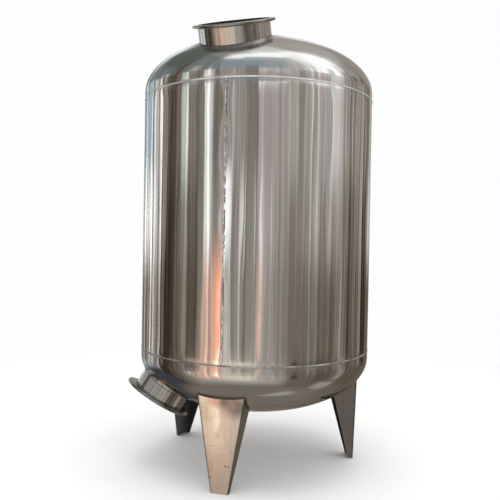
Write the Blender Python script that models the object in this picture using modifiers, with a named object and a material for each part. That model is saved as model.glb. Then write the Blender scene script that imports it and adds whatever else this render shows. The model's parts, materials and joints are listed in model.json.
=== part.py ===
"""Stainless steel storage tank on three tapered legs, with an open manway in each end.

The tank stands upright along Z with its feet at height 0. Azimuths are measured in plan
from the front of the tank (-Y) towards its right side (+X).
"""

import math
from collections import namedtuple

import bmesh
import bpy
from mathutils import Matrix, Vector

# Driving dimensions, in metres
TANK_DIAMETER = 1.400
SHELL_LENGTH = 1.494
PLATE = 0.004
HEAD_DEPTH = 0.328
HEAD_FLANGE = 0.045
BOTTOM_SEAM_HEIGHT = 0.700

# Welds between the plates
SEAM_GAP = 0.0030
SEAM_WELD_WIDTH = 0.008
SEAM_WELD_CROWN = 0.0014
FLAT_CROWN_SHARE = 0.45
UPRIGHT_WELD_WIDTH = 0.006
UPRIGHT_WELD_BEVEL = 0.0006
SEAM_AZIMUTH = math.radians(-14.0625)
FILLET_RADIUS = 0.0035

# Manways: sign is +1 on the top head and -1 on the bottom one, offset is the distance of
# the centre from the tank's axis, and rise is how far the rim's face stands off the head
Manway = namedtuple("Manway", "side sign offset azimuth rise neck_radius rim_radius")
NECK_WALL = 0.004
RIM_THICKNESS = 0.016
RIM_CHAMFER = 0.004
TOP_MANWAY = Manway("top", 1, 0.467, math.radians(-16.9), 0.0745, 0.200, 0.2285)
BOTTOM_MANWAY = Manway("bottom", -1, 0.560, math.radians(-75.4), 0.081, 0.1565, 0.2065)

# Legs, folded from plate: the upper width and flange are measured at LEG_FACE_DROP below
# the bottom girth seam, and the blank runs on up to LEG_BLANK_DROP, where the head cuts it
LEG_PLATE = 0.006
LEG_FACE_RADIUS = 0.630
LEG_TOP_WIDTH = 0.270
LEG_FOOT_WIDTH = 0.100
LEG_TOP_FLANGE = 0.168
LEG_FOOT_FLANGE = 0.032
LEG_BLANK_DROP = 0.105
LEG_FACE_DROP = 0.175
LEG_WELD_SHARE = 0.75
LEG_AZIMUTHS = {
    "leg_front": math.radians(-16.0),
    "leg_right": math.radians(92.0),
    "leg_left": math.radians(-128.0),
}

# Clearance between pieces that touch, and how finely round shapes are divided
GAP = 0.0003
TANK_SIDES = 64
NECK_SIDES = 48
HEAD_ARC_STEPS = 12
LEG_WELD_STEPS = 8
SADDLE_HALVINGS = 40
WELD_SETTLING_STEPS = 12
MERGE = 0.00005

# Sizes that follow from the ones above
TANK_RADIUS = TANK_DIAMETER / 2.0
TOP_SEAM_HEIGHT = BOTTOM_SEAM_HEIGHT + SHELL_LENGTH
LEG_BLANK_TOP = BOTTOM_SEAM_HEIGHT - LEG_BLANK_DROP
LEG_FACE_TOP = BOTTOM_SEAM_HEIGHT - LEG_FACE_DROP
CUTTER_SKIRT = SHELL_LENGTH / 3.0
FILLET_OFFSET = FILLET_RADIUS + GAP

# Finishes: colour and roughness of the bright plate, the duller legs and the weld metal
Finish = namedtuple("Finish", "colour roughness")
BRIGHT_STAINLESS = Finish((0.50, 0.48, 0.46, 1.0), 0.22)
DULL_STAINLESS = Finish((0.42, 0.39, 0.36, 1.0), 0.38)
WELD_METAL = Finish((0.60, 0.57, 0.54, 1.0), 0.45)


def clear_scene():
    """Remove every object of the open scene."""
    for thing in list(bpy.data.objects):
        bpy.data.objects.remove(thing, do_unlink=True)


def new_collection(name):
    """Make a collection and link it to the scene."""
    collection = bpy.data.collections.new(name)
    bpy.context.scene.collection.children.link(collection)
    return collection


def metal(name, finish):
    """Make a metallic material."""
    material = bpy.data.materials.new(name)
    material.use_nodes = True
    shader = material.node_tree.nodes["Principled BSDF"]
    shader.inputs["Base Color"].default_value = finish.colour
    shader.inputs["Metallic"].default_value = 1.0
    shader.inputs["Roughness"].default_value = finish.roughness
    return material


def outward(azimuth):
    """Unit vector in plan at an azimuth."""
    return Vector((math.sin(azimuth), -math.cos(azimuth), 0.0))


def place(obj, collection, material, parent):
    """Put an object in its collection, with its material and parent."""
    for old in list(obj.users_collection):
        old.objects.unlink(obj)
    collection.objects.link(obj)
    if material is not None:
        obj.data.materials.append(material)
    obj.parent = parent
    return obj


def turned(name, outline, sides, closed=False):
    """Turn an outline of (radius, height) points round the Z axis."""
    edges = [(i, i + 1) for i in range(len(outline) - 1)]
    if closed:
        edges.append((len(outline) - 1, 0))
    mesh = bpy.data.meshes.new(name)
    mesh.from_pydata([(radius, 0.0, height) for radius, height in outline], edges, [])
    obj = bpy.data.objects.new(name, mesh)
    screw = obj.modifiers.new("turn", "SCREW")
    screw.steps = sides
    screw.render_steps = sides
    screw.use_smooth_shade = True
    screw.use_merge_vertices = True
    screw.merge_threshold = MERGE
    return obj


def thicken(obj, thickness):
    """Give an open surface its plate thickness, on the inner side."""
    solidify = obj.modifiers.new("plate", "SOLIDIFY")
    solidify.thickness = thickness
    solidify.offset = -1.0
    solidify.use_even_offset = True


def subtract(obj, cutter):
    """Cut one object with another."""
    boolean = obj.modifiers.new("cut_" + cutter.name, "BOOLEAN")
    boolean.operation = "DIFFERENCE"
    boolean.solver = "EXACT"
    boolean.object = cutter


def as_cutter(obj, collection, parent):
    """Hide a cutter from renders and draw it as wire."""
    place(obj, collection, None, parent)
    obj.hide_render = True
    obj.display_type = "WIRE"
    return obj


def head_height(radius, growth=0.0):
    """Height of the head's curve above its straight flange, at a distance from the axis."""
    share = radius / (TANK_RADIUS + growth)
    return (HEAD_DEPTH + growth) * math.sqrt(max(0.0, 1.0 - share * share))


def head_outline(sign, growth=0.0):
    """Outline of a head from its crown to its edge, grown outwards by a small amount."""
    points = []
    for step in range(HEAD_ARC_STEPS + 1):
        angle = math.radians(90.0) * (1.0 - step / HEAD_ARC_STEPS)
        radius = (TANK_RADIUS + growth) * math.cos(angle)
        rise = HEAD_FLANGE + (HEAD_DEPTH + growth) * math.sin(angle)
        points.append((radius if step else 0.0, sign * rise))
    return points


def seam_height(sign):
    """Height of the girth seam at the top (+1) or bottom (-1) of the shell."""
    return TOP_SEAM_HEIGHT if sign > 0 else BOTTOM_SEAM_HEIGHT


def build_shell(parts, steel, parent):
    """The rolled shell between the two girth seams."""
    half_gap = SEAM_GAP / 2.0
    outline = [
        (TANK_RADIUS, TOP_SEAM_HEIGHT - half_gap),
        (TANK_RADIUS, BOTTOM_SEAM_HEIGHT + half_gap),
    ]
    shell = turned("shell", outline, TANK_SIDES)
    thicken(shell, PLATE)
    return place(shell, parts, steel, parent)


def build_seam_weld(parts, weld_metal, parent):
    """The upright weld that closes the rolled shell, proud of its outer face."""
    half_gap = SEAM_WELD_WIDTH / 2.0 + GAP
    flat_radius = TANK_RADIUS * math.cos(math.pi / TANK_SIDES)
    length = SHELL_LENGTH - 2.0 * half_gap
    bpy.ops.mesh.primitive_cube_add(size=1.0)
    weld = bpy.context.object
    weld.name = "shell_seam_weld"
    depth = SEAM_WELD_CROWN
    weld.data.transform(Matrix.Diagonal((UPRIGHT_WELD_WIDTH, depth, length, 1.0)))
    weld.location = outward(SEAM_AZIMUTH) * (flat_radius + GAP + depth / 2.0)
    weld.location.z = (TOP_SEAM_HEIGHT + BOTTOM_SEAM_HEIGHT) / 2.0
    weld.rotation_euler.z = SEAM_AZIMUTH
    bevel = weld.modifiers.new("round", "BEVEL")
    bevel.width = UPRIGHT_WELD_BEVEL
    bevel.segments = 1
    return place(weld, parts, weld_metal, parent)


def build_girth_weld(parts, weld_metal, parent, name, sign):
    """A girth weld: a root that fills the gap between the plates and a crown outside."""
    half_root = SEAM_GAP / 2.0 - GAP
    half_crown = SEAM_WELD_WIDTH / 2.0
    half_top = half_crown * FLAT_CROWN_SHARE
    inner = TANK_RADIUS - PLATE
    seat = TANK_RADIUS + GAP
    crown = TANK_RADIUS + SEAM_WELD_CROWN
    outline = [
        (inner, half_root),
        (seat, half_root),
        (seat, half_crown),
        (crown, half_top),
        (crown, -half_top),
        (seat, -half_crown),
        (seat, -half_root),
        (inner, -half_root),
    ]
    weld = turned(name, outline, TANK_SIDES, closed=True)
    weld.location.z = seam_height(sign)
    return place(weld, parts, weld_metal, parent)


def build_head(parts, steel, parent, name, sign):
    """A dished head with its straight flange, open at the girth seam."""
    edge = (TANK_RADIUS, sign * SEAM_GAP / 2.0)
    outline = head_outline(sign) + [edge]
    if sign < 0:
        outline.reverse()
    head = turned(name, outline, TANK_SIDES)
    head.location.z = seam_height(sign)
    thicken(head, PLATE)
    return place(head, parts, steel, parent)


def head_solid(cutters, parent, name, sign, growth):
    """A closed solid of a head's form and part of the shell, for cutting what meets it."""
    outline = head_outline(sign, growth) + [
        (TANK_RADIUS + growth, -sign * CUTTER_SKIRT),
        (0.0, -sign * CUTTER_SKIRT),
    ]
    if sign < 0:
        outline.reverse()
    solid = turned(name, outline, TANK_SIDES)
    solid.location.z = seam_height(sign)
    return as_cutter(solid, cutters, parent)


def manway_matrix(manway):
    """Placement of a manway: its centre is on the head's face and its Z axis square to it."""
    rise = head_height(manway.offset)
    centre = outward(manway.azimuth) * manway.offset
    centre.z = seam_height(manway.sign) + manway.sign * (HEAD_FLANGE + rise)
    axis = outward(manway.azimuth) * (manway.offset / TANK_RADIUS**2)
    axis.z = manway.sign * rise / HEAD_DEPTH**2
    turn = axis.to_track_quat("Z", "Y").to_matrix().to_4x4()
    return Matrix.Translation(centre) @ turn


def inside_head(spot, sign, growth):
    """Whether a point is inside a head's form, or inside the shell behind it."""
    flat = math.hypot(spot.x, spot.y) / (TANK_RADIUS + growth)
    rise = (sign * (spot.z - seam_height(sign)) - HEAD_FLANGE) / (HEAD_DEPTH + growth)
    return flat < 1.0 and (rise < 0.0 or flat * flat + rise * rise < 1.0)


def saddle_points(manway, ring_radius, growth, count):
    """Points round a manway's axis that lie on the head's face, grown by a small amount."""
    matrix = manway_matrix(manway)
    points = []
    for step in range(count):
        angle = 2.0 * math.pi * step / count
        across = Vector((ring_radius * math.cos(angle), ring_radius * math.sin(angle), 0.0))
        low = -2.0 * ring_radius
        high = ring_radius
        for _ in range(SADDLE_HALVINGS):
            middle = (low + high) / 2.0
            spot = matrix @ (across + Vector((0.0, 0.0, middle)))
            if inside_head(spot, manway.sign, growth):
                low = middle
            else:
                high = middle
        points.append(spot)
    return points


def bead(name, points, radius, cyclic):
    """A weld bead along a line of points."""
    curve = bpy.data.curves.new(name, "CURVE")
    curve.dimensions = "3D"
    curve.bevel_depth = radius
    curve.bevel_resolution = 1
    curve.use_fill_caps = not cyclic
    spline = curve.splines.new("POLY")
    spline.points.add(len(points) - 1)
    for target, point in zip(spline.points, points):
        target.co = (*point, 1.0)
    spline.use_cyclic_u = cyclic
    return bpy.data.objects.new(name, curve)


def build_manway(parts, cutters, steel, weld_metal, parent, manway):
    """The neck, rim and welds of one manway; gives back the cutter for the head's hole."""
    matrix = manway_matrix(manway)
    rise = manway.rise
    inner = manway.neck_radius + GAP
    outer = manway.rim_radius
    depth = manway.neck_radius
    core = head_solid(cutters, parent, manway.side + "_head_core", manway.sign, -PLATE)

    hole_outline = [(0.0, rise), (inner, rise), (inner, -depth), (0.0, -depth)]
    hole = turned(manway.side + "_manway_hole", hole_outline, NECK_SIDES)
    hole.matrix_local = matrix
    as_cutter(hole, cutters, parent)

    neck_outline = [(manway.neck_radius, rise), (manway.neck_radius, -depth)]
    neck = turned(manway.side + "_manway_neck", neck_outline, NECK_SIDES)
    neck.matrix_local = matrix
    thicken(neck, NECK_WALL)
    subtract(neck, core)
    place(neck, parts, steel, parent)

    rim_outline = [
        (inner, rise),
        (outer - RIM_CHAMFER, rise),
        (outer, rise - RIM_CHAMFER),
        (outer, rise - RIM_THICKNESS + RIM_CHAMFER),
        (outer - RIM_CHAMFER, rise - RIM_THICKNESS),
        (inner, rise - RIM_THICKNESS),
    ]
    rim = turned(manway.side + "_manway_rim", rim_outline, NECK_SIDES, closed=True)
    rim.matrix_local = matrix
    place(rim, parts, steel, parent)

    ring = manway.neck_radius + FILLET_OFFSET
    base_points = saddle_points(manway, ring, FILLET_OFFSET, NECK_SIDES)
    base_weld = bead(manway.side + "_manway_weld", base_points, FILLET_RADIUS, cyclic=True)
    place(base_weld, parts, weld_metal, parent)

    under_rim = rise - RIM_THICKNESS - FILLET_OFFSET
    rim_points = []
    for step in range(NECK_SIDES):
        angle = 2.0 * math.pi * step / NECK_SIDES
        rim_points.append(Vector((ring * math.cos(angle), ring * math.sin(angle), under_rim)))
    rim_weld = bead(manway.side + "_manway_rim_weld", rim_points, FILLET_RADIUS, cyclic=True)
    rim_weld.matrix_local = matrix
    place(rim_weld, parts, weld_metal, parent)
    return hole


def leg_half_width(height):
    """Half the width of a leg's outer face at a height."""
    share = height / LEG_FACE_TOP
    return (LEG_FOOT_WIDTH + share * (LEG_TOP_WIDTH - LEG_FOOT_WIDTH)) / 2.0


def leg_flange(height):
    """Depth of a leg's side flange at a height."""
    share = height / LEG_FACE_TOP
    return LEG_FOOT_FLANGE + share * (LEG_TOP_FLANGE - LEG_FOOT_FLANGE)


def build_leg(parts, steel, parent, name, azimuth, head_cutter):
    """A leg folded from plate: a tapered outer face and two side flanges, cut to the head."""
    mesh = bpy.data.meshes.new(name)
    form = bmesh.new()
    corners = bmesh.ops.create_grid(form, x_segments=1, y_segments=1, size=0.5)["verts"]
    for corner in corners:
        height = LEG_BLANK_TOP if corner.co.y > 0.0 else 0.0
        across = leg_half_width(height) if corner.co.x > 0.0 else 0.0
        corner.co = Vector((across, 0.0, height))
    fold = [edge for edge in form.edges if all(v.co.x > LEG_PLATE for v in edge.verts)]
    flange = bmesh.ops.extrude_edge_only(form, edges=fold)["geom"]
    for vert in (item for item in flange if isinstance(item, bmesh.types.BMVert)):
        vert.co.y += leg_flange(vert.co.z)
    bmesh.ops.recalc_face_normals(form, faces=form.faces)
    form.to_mesh(mesh)
    form.free()
    leg = bpy.data.objects.new(name, mesh)
    mirror = leg.modifiers.new("other_half", "MIRROR")
    mirror.use_axis = (True, False, False)
    mirror.use_clip = True
    mirror.merge_threshold = MERGE
    thicken(leg, LEG_PLATE)
    leg.location = outward(azimuth) * LEG_FACE_RADIUS
    leg.rotation_euler.z = azimuth
    subtract(leg, head_cutter)
    return place(leg, parts, steel, parent)


def weld_beside_flange(inward):
    """Where a leg's weld lies beside its right flange, at a depth in from the outer face."""
    height = LEG_FACE_TOP
    for _ in range(WELD_SETTLING_STEPS):
        across = leg_half_width(height) + FILLET_OFFSET
        radius = math.hypot(across, LEG_FACE_RADIUS - inward)
        height = BOTTOM_SEAM_HEIGHT - HEAD_FLANGE - head_height(radius, FILLET_OFFSET)
    return Vector((across, inward, height))


def weld_over_face(across):
    """Where a leg's weld lies over its outer face, at a distance from the middle."""
    radius = math.hypot(across, LEG_FACE_RADIUS + FILLET_OFFSET)
    height = BOTTOM_SEAM_HEIGHT - HEAD_FLANGE - head_height(radius, FILLET_OFFSET)
    return Vector((across, -FILLET_OFFSET, height))


def build_leg_weld(parts, weld_metal, parent, name, azimuth):
    """The fillet weld round the top of a leg: across its face and along both flanges."""
    depth = leg_flange(LEG_FACE_TOP) * LEG_WELD_SHARE
    half_turn = FILLET_OFFSET / 2.0
    half = [
        weld_beside_flange(depth - (depth + half_turn) * step / LEG_WELD_STEPS)
        for step in range(LEG_WELD_STEPS + 1)
    ]
    corner = half[-1].x - half_turn
    half += [
        weld_over_face(corner * (1.0 - step / LEG_WELD_STEPS))
        for step in range(LEG_WELD_STEPS)
    ]
    other_half = [Vector((-point.x, point.y, point.z)) for point in reversed(half)]
    points = half + [weld_over_face(0.0)] + other_half
    weld = bead(name, points, FILLET_RADIUS, cyclic=False)
    weld.location = outward(azimuth) * LEG_FACE_RADIUS
    weld.rotation_euler.z = azimuth
    return place(weld, parts, weld_metal, parent)


def centre_on_origin(carrier, parts):
    """Move the carrier so that the origin is at the middle of the whole tank's plan."""
    bpy.context.view_layer.update()
    graph = bpy.context.evaluated_depsgraph_get()
    low = Vector((math.inf, math.inf))
    high = Vector((-math.inf, -math.inf))
    for obj in parts.objects:
        if obj.type == "EMPTY":
            continue
        shape = obj.evaluated_get(graph)
        mesh = shape.to_mesh()
        for vert in mesh.vertices:
            spot = obj.matrix_world @ vert.co
            for axis in range(2):
                low[axis] = min(low[axis], spot[axis])
                high[axis] = max(high[axis], spot[axis])
        shape.to_mesh_clear()
    carrier.location.x = -(low.x + high.x) / 2.0
    carrier.location.y = -(low.y + high.y) / 2.0
    bpy.context.view_layer.update()


def build_tank():
    """Build the whole tank."""
    clear_scene()
    parts = new_collection("storage_tank")
    cutters = new_collection("cutters")
    carrier = bpy.data.objects.new("tank_axis", None)
    parts.objects.link(carrier)
    steel = metal("bright_stainless", BRIGHT_STAINLESS)
    leg_steel = metal("dull_stainless", DULL_STAINLESS)
    weld_metal = metal("weld_metal", WELD_METAL)

    build_shell(parts, steel, carrier)
    build_seam_weld(parts, weld_metal, carrier)
    build_girth_weld(parts, weld_metal, carrier, "top_girth_weld", 1)
    build_girth_weld(parts, weld_metal, carrier, "bottom_girth_weld", -1)

    top_head = build_head(parts, steel, carrier, "top_head", 1)
    bottom_head = build_head(parts, steel, carrier, "bottom_head", -1)
    for head, manway in ((top_head, TOP_MANWAY), (bottom_head, BOTTOM_MANWAY)):
        hole = build_manway(parts, cutters, steel, weld_metal, carrier, manway)
        subtract(head, hole)

    head_cutter = head_solid(cutters, carrier, "bottom_head_form", -1, GAP)
    for name, azimuth in LEG_AZIMUTHS.items():
        build_leg(parts, leg_steel, carrier, name, azimuth, head_cutter)
        build_leg_weld(parts, weld_metal, carrier, name + "_weld", azimuth)

    centre_on_origin(carrier, parts)


build_tank()
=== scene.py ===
"""Looks of an upright stainless steel storage tank: plate, weld beads, manways and legs.

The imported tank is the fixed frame. Lengths are in metres and Z is up. Azimuths are measured
in plan from the front of the tank (-Y) towards its right side (+X). Every piece here stands
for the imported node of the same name, with the fine surface that the real plate has: the
slight waves of rolled sheet, rippled weld beads, rounded folds, grain, scratches and marks.
"""

import json
import logging
import math
from collections.abc import Callable
from dataclasses import dataclass, field
from enum import Enum

import bmesh
import bpy
import numpy as np
from mathutils import Matrix, Vector


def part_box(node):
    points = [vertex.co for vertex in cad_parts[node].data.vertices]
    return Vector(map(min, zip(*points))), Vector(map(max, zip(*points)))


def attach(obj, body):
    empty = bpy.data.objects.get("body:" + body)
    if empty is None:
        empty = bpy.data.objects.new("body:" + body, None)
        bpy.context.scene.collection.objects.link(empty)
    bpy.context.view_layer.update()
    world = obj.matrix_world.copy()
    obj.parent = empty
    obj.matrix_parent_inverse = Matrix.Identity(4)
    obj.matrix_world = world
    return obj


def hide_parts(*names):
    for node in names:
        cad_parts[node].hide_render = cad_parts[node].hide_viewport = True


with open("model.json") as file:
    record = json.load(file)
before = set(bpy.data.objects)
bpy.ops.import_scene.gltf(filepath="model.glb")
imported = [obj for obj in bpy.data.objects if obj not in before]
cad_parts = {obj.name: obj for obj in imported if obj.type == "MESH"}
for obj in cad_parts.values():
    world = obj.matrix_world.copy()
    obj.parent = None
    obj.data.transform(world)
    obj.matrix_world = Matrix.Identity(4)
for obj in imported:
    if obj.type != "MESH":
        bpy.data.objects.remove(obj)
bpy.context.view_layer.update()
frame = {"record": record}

LOG = logging.getLogger("storage_tank")
BODY = "root"

# How finely surfaces are divided, how near two points must be to become one, how many steps
# the searches take, and from which angle an edge is sharp
SHELL_SEGMENTS = 640
HEAD_SEGMENTS = 576
MANWAY_SEGMENTS = 192
MERGE = 0.00001
HALVINGS = 40
SETTLING_STEPS = 24
SHARP_ANGLE = math.radians(32.0)


class Slot(Enum):
    """The record's material slots."""

    SHELL = "tank_steel"
    HEAD = "head_steel"
    MANWAY = "manway_steel"
    LEG = "leg_steel"
    WELD = "weld_metal"


class Grain(Enum):
    """Which way the grain of a surface runs, in its object's own axes."""

    ROUND = "round the object's Z axis"
    UPRIGHT = "along the object's Z axis"


def skin(
    name: str,
    points: np.ndarray,
    wrap_rows: bool = False,
    wrap_columns: bool = False,
    capped: bool = False,
) -> bpy.types.Object:
    """Make a smooth shaded object from a net of points.

    Args:
        name: name of the object.
        points: places of the net's knots, as rows x columns x 3.
        wrap_rows: whether the last row joins the first.
        wrap_columns: whether the last column joins the first.
        capped: whether the first and the last row are closed with a face.

    Returns:
        The object, linked to the scene, with its faces pointing out.
    """
    rows, columns = points.shape[:2]
    row = np.arange(rows if wrap_rows else rows - 1)[:, None]
    column = np.arange(columns if wrap_columns else columns - 1)[None, :]
    next_row = (row + 1) % rows
    next_column = (column + 1) % columns
    corners = [
        row * columns + column,
        row * columns + next_column,
        next_row * columns + next_column,
        next_row * columns + column,
    ]
    faces = np.stack(corners, axis=-1).reshape(-1, 4).tolist()
    if capped:
        faces.append(list(range(columns)))
        faces.append([(rows - 1) * columns + index for index in range(columns)])
    mesh = bpy.data.meshes.new(name)
    mesh.from_pydata(points.reshape(-1, 3).tolist(), [], faces)
    return finish_mesh(name, mesh)


def finish_mesh(name: str, mesh: bpy.types.Mesh) -> bpy.types.Object:
    """Weld a mesh's double points, turn its faces outwards and shade it smooth.

    Args:
        name: name of the object that is made of it.
        mesh: the mesh.

    Returns:
        The object, linked to the scene.
    """
    form = bmesh.new()
    form.from_mesh(mesh)
    bmesh.ops.remove_doubles(form, verts=form.verts, dist=MERGE)
    bmesh.ops.recalc_face_normals(form, faces=form.faces)
    form.to_mesh(mesh)
    form.free()
    mesh.shade_smooth()
    mesh.set_sharp_from_angle(angle=SHARP_ANGLE)
    obj = bpy.data.objects.new(name, mesh)
    bpy.context.scene.collection.objects.link(obj)
    return obj


def round_axis(azimuth: np.ndarray, radius: np.ndarray, height: np.ndarray) -> np.ndarray:
    """Points at azimuths, distances from the Z axis and heights, which may be broadcast."""
    parts = (radius * np.sin(azimuth), -radius * np.cos(azimuth), height)
    return np.stack(np.broadcast_arrays(*parts), axis=-1)


def full_turn(segments: int) -> np.ndarray:
    """Azimuths of the columns of a net that goes all the way round, as one row."""
    return np.linspace(0.0, 2.0 * math.pi, segments, endpoint=False)[None, :]


def fade(value: np.ndarray, start: float, end: float) -> np.ndarray:
    """Smooth step from 0 at start to 1 at end."""
    share = np.clip((value - start) / (end - start), 0.0, 1.0)
    return share * share * (3.0 - 2.0 * share)


@dataclass(frozen=True)
class Waves:
    """The slight waves that rolling and welding leave in a round plate.

    Their slopes, not their heights, are what shows, because they bend the reflections.
    """

    slope: float
    fewest: int
    most: int
    count: int
    drift: float
    seed: int
    steady: float = 0.65
    varied: float = 0.35

    def offset(self, azimuth: np.ndarray, height: np.ndarray, radius: float) -> np.ndarray:
        """How far the plate stands off its true radius.

        Args:
            azimuth: azimuths of the points.
            height: heights of the points.
            radius: radius of the plate.

        Returns:
            The offset of each point, in metres.
        """
        chance = np.random.default_rng(self.seed)
        total = np.zeros(np.broadcast(azimuth, height).shape)
        for _ in range(self.count):
            waves = int(chance.integers(self.fewest, self.most))
            start = chance.uniform(0.0, 2.0 * math.pi)
            lean = chance.normal(0.0, self.drift)
            swell = chance.uniform(0.0, 2.0 * math.pi)
            beat = np.sin(height * 2.0 * math.pi * abs(lean) + swell)
            strength = self.steady + self.varied * beat
            size = self.slope * radius / waves
            total += size * strength * np.cos(waves * azimuth + start + lean * height)
        return total


@dataclass(frozen=True)
class Ripples:
    """Scalloped surface that a torch leaves along a weld bead."""

    pitch: float = 0.0042
    depth: float = 0.30
    bow: float = 0.45
    wander: float = 0.10
    sway: float = 0.25
    middle: float = 0.7
    turns: tuple[int, int] = (2, 14)
    steps: int = 4
    seed: int = 3

    def stations(self, length: float) -> int:
        """How many rows of points a bead of this length takes."""
        return self.steps * max(2, round(length / self.pitch))

    def relief(self, share: np.ndarray, length: float, across: np.ndarray) -> np.ndarray:
        """Share of its plain height that the bead has at each point.

        Args:
            share: how far along the bead the point is, from 0 to 1.
            length: length of the bead.
            across: where on the bead's width the point is, from -1 to 1.

        Returns:
            The height's share, about 1.
        """
        chance = np.random.default_rng(self.seed)
        shift = np.zeros_like(share)
        swell = np.zeros_like(share)
        for turns in range(*self.turns):
            size = chance.uniform(0.2, 1.0)
            start = chance.uniform(0.0, 2.0 * math.pi)
            shift = shift + size * np.sin(2.0 * math.pi * turns * share + start)
            swell = swell + size * np.cos(4.0 * math.pi * turns * share + start)
        phase = share * round(length / self.pitch) + self.sway * shift - self.bow * across**2
        scallop = np.abs(np.sin(math.pi * phase))
        return 1.0 + self.depth * (scallop - self.middle) + self.wander * swell / 4.0


@dataclass(frozen=True)
class Tank:
    """The main sizes of the tank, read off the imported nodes."""

    axis_x: float
    radius: float
    bottom_seam: float
    top_seam: float
    head_rise: float
    head_flange: float = 0.045
    plate: float = 0.004
    gap: float = 0.0003

    @classmethod
    def from_frame(cls) -> "Tank":
        """Read the sizes off the shell and the top head.

        Returns:
            The tank.
        """
        shell_low, shell_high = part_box("shell")
        head_low, head_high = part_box("top_head")
        half_gap = (head_low.z - shell_high.z) / 2.0
        return cls(
            axis_x=(shell_low.x + shell_high.x) / 2.0,
            radius=(shell_high.x - shell_low.x) / 2.0,
            bottom_seam=shell_low.z - half_gap,
            top_seam=shell_high.z + half_gap,
            head_rise=head_high.z - shell_high.z - half_gap,
        )

    @property
    def head_depth(self) -> float:
        """Height of a head's curve above its straight flange."""
        return self.head_rise - self.head_flange

    @property
    def half_gap(self) -> float:
        """Half the gap between the plates at a girth seam."""
        return (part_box("top_head")[0].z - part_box("shell")[1].z) / 2.0

    def seam(self, sign: int) -> float:
        """Height of the top (+1) or bottom (-1) girth seam."""
        return self.top_seam if sign > 0 else self.bottom_seam

    def head_height(self, radius: np.ndarray, growth: float = 0.0) -> np.ndarray:
        """Height of a head's curve over its flange at a distance from the axis."""
        share = radius / (self.radius + growth)
        return (self.head_depth + growth) * np.sqrt(np.maximum(0.0, 1.0 - share * share))

    def inside_head(self, points: np.ndarray, sign: int, growth: float) -> np.ndarray:
        """Which points lie inside a head's form, or inside the shell behind it.

        Args:
            points: the points, given from the tank's axis.
            sign: +1 for the top head, -1 for the bottom one.
            growth: how much the head's form is grown.

        Returns:
            For each point whether it is inside.
        """
        flat = np.hypot(points[..., 0], points[..., 1]) / (self.radius + growth)
        rise = sign * (points[..., 2] - self.seam(sign)) - self.head_flange
        rise = rise / (self.head_depth + growth)
        return (flat < 1.0) & ((rise < 0.0) | (flat * flat + rise * rise < 1.0))

    def place(self, obj: bpy.types.Object, matrix: Matrix | None = None) -> None:
        """Put an object on the tank's axis, or at a place given from that axis."""
        centre = Matrix.Translation((self.axis_x, 0.0, 0.0))
        obj.matrix_world = centre @ (matrix if matrix is not None else Matrix.Identity(4))


def wire(tree: bpy.types.NodeTree, kind: str, inputs: dict, **settings: object) -> bpy.types.Node:
    """Add a node to a tree and connect or set its inputs.

    Args:
        tree: the node tree.
        kind: the node's type.
        inputs: for each input, by name or number, a socket to link or a value to set.
        settings: the node's own properties.

    Returns:
        The node.
    """
    node = tree.nodes.new(kind)
    for key, value in settings.items():
        setattr(node, key, value)
    for key, value in inputs.items():
        if isinstance(value, bpy.types.NodeSocket):
            tree.links.new(value, node.inputs[key])
        else:
            node.inputs[key].default_value = value
    return node


def maths(tree: bpy.types.NodeTree, operation: str, *values: object) -> bpy.types.NodeSocket:
    """Add a Math node with these operands and give its result."""
    node = wire(tree, "ShaderNodeMath", dict(enumerate(values)), operation=operation)
    return node.outputs[0]


def remap(
    tree: bpy.types.NodeTree,
    value: bpy.types.NodeSocket,
    old: tuple[object, object],
    new: tuple[object, object] = (0.0, 1.0),
    smooth: bool = False,
) -> bpy.types.NodeSocket:
    """Add a clamped Map Range node from the old range to the new one and give its result.

    Args:
        tree: the node tree.
        value: what is mapped.
        old: the range that the value comes in.
        new: the range that it goes to.
        smooth: whether it eases in and out.

    Returns:
        The mapped value.
    """
    inputs = {"Value": value, 1: old[0], 2: old[1], 3: new[0], 4: new[1]}
    kind = "SMOOTHSTEP" if smooth else "LINEAR"
    node = wire(tree, "ShaderNodeMapRange", inputs, interpolation_type=kind)
    return node.outputs["Result"]


def blend_colour(
    tree: bpy.types.NodeTree, share: object, first: object, second: object
) -> bpy.types.NodeSocket:
    """Mix two colours by a share and give the result.

    Args:
        tree: the node tree.
        share: how much of the second colour there is, from 0 to 1.
        first: the first colour, as a socket or a value.
        second: the second colour, as a socket or a value.

    Returns:
        The mixed colour.
    """
    node = wire(tree, "ShaderNodeMix", {}, data_type="RGBA")
    for socket, value in ((node.inputs[0], share), (node.inputs[6], first), (node.inputs[7], second)):
        if isinstance(value, bpy.types.NodeSocket):
            tree.links.new(value, socket)
        else:
            socket.default_value = value
    return node.outputs[2]


def soft_step(
    tree: bpy.types.NodeTree, value: object, at: object, softness: object, rising: bool
) -> bpy.types.NodeSocket:
    """Smooth step of a value, up or down.

    Args:
        tree: the node tree.
        value: what is compared.
        at: where the step's middle is.
        softness: half the width of the step.
        rising: whether the step goes up with the value.

    Returns:
        The step's result, from 0 to 1.
    """
    start = maths(tree, "SUBTRACT", at, softness)
    end = maths(tree, "ADD", at, softness)
    return remap(tree, value, (start, end), (0.0, 1.0) if rising else (1.0, 0.0), smooth=True)


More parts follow.
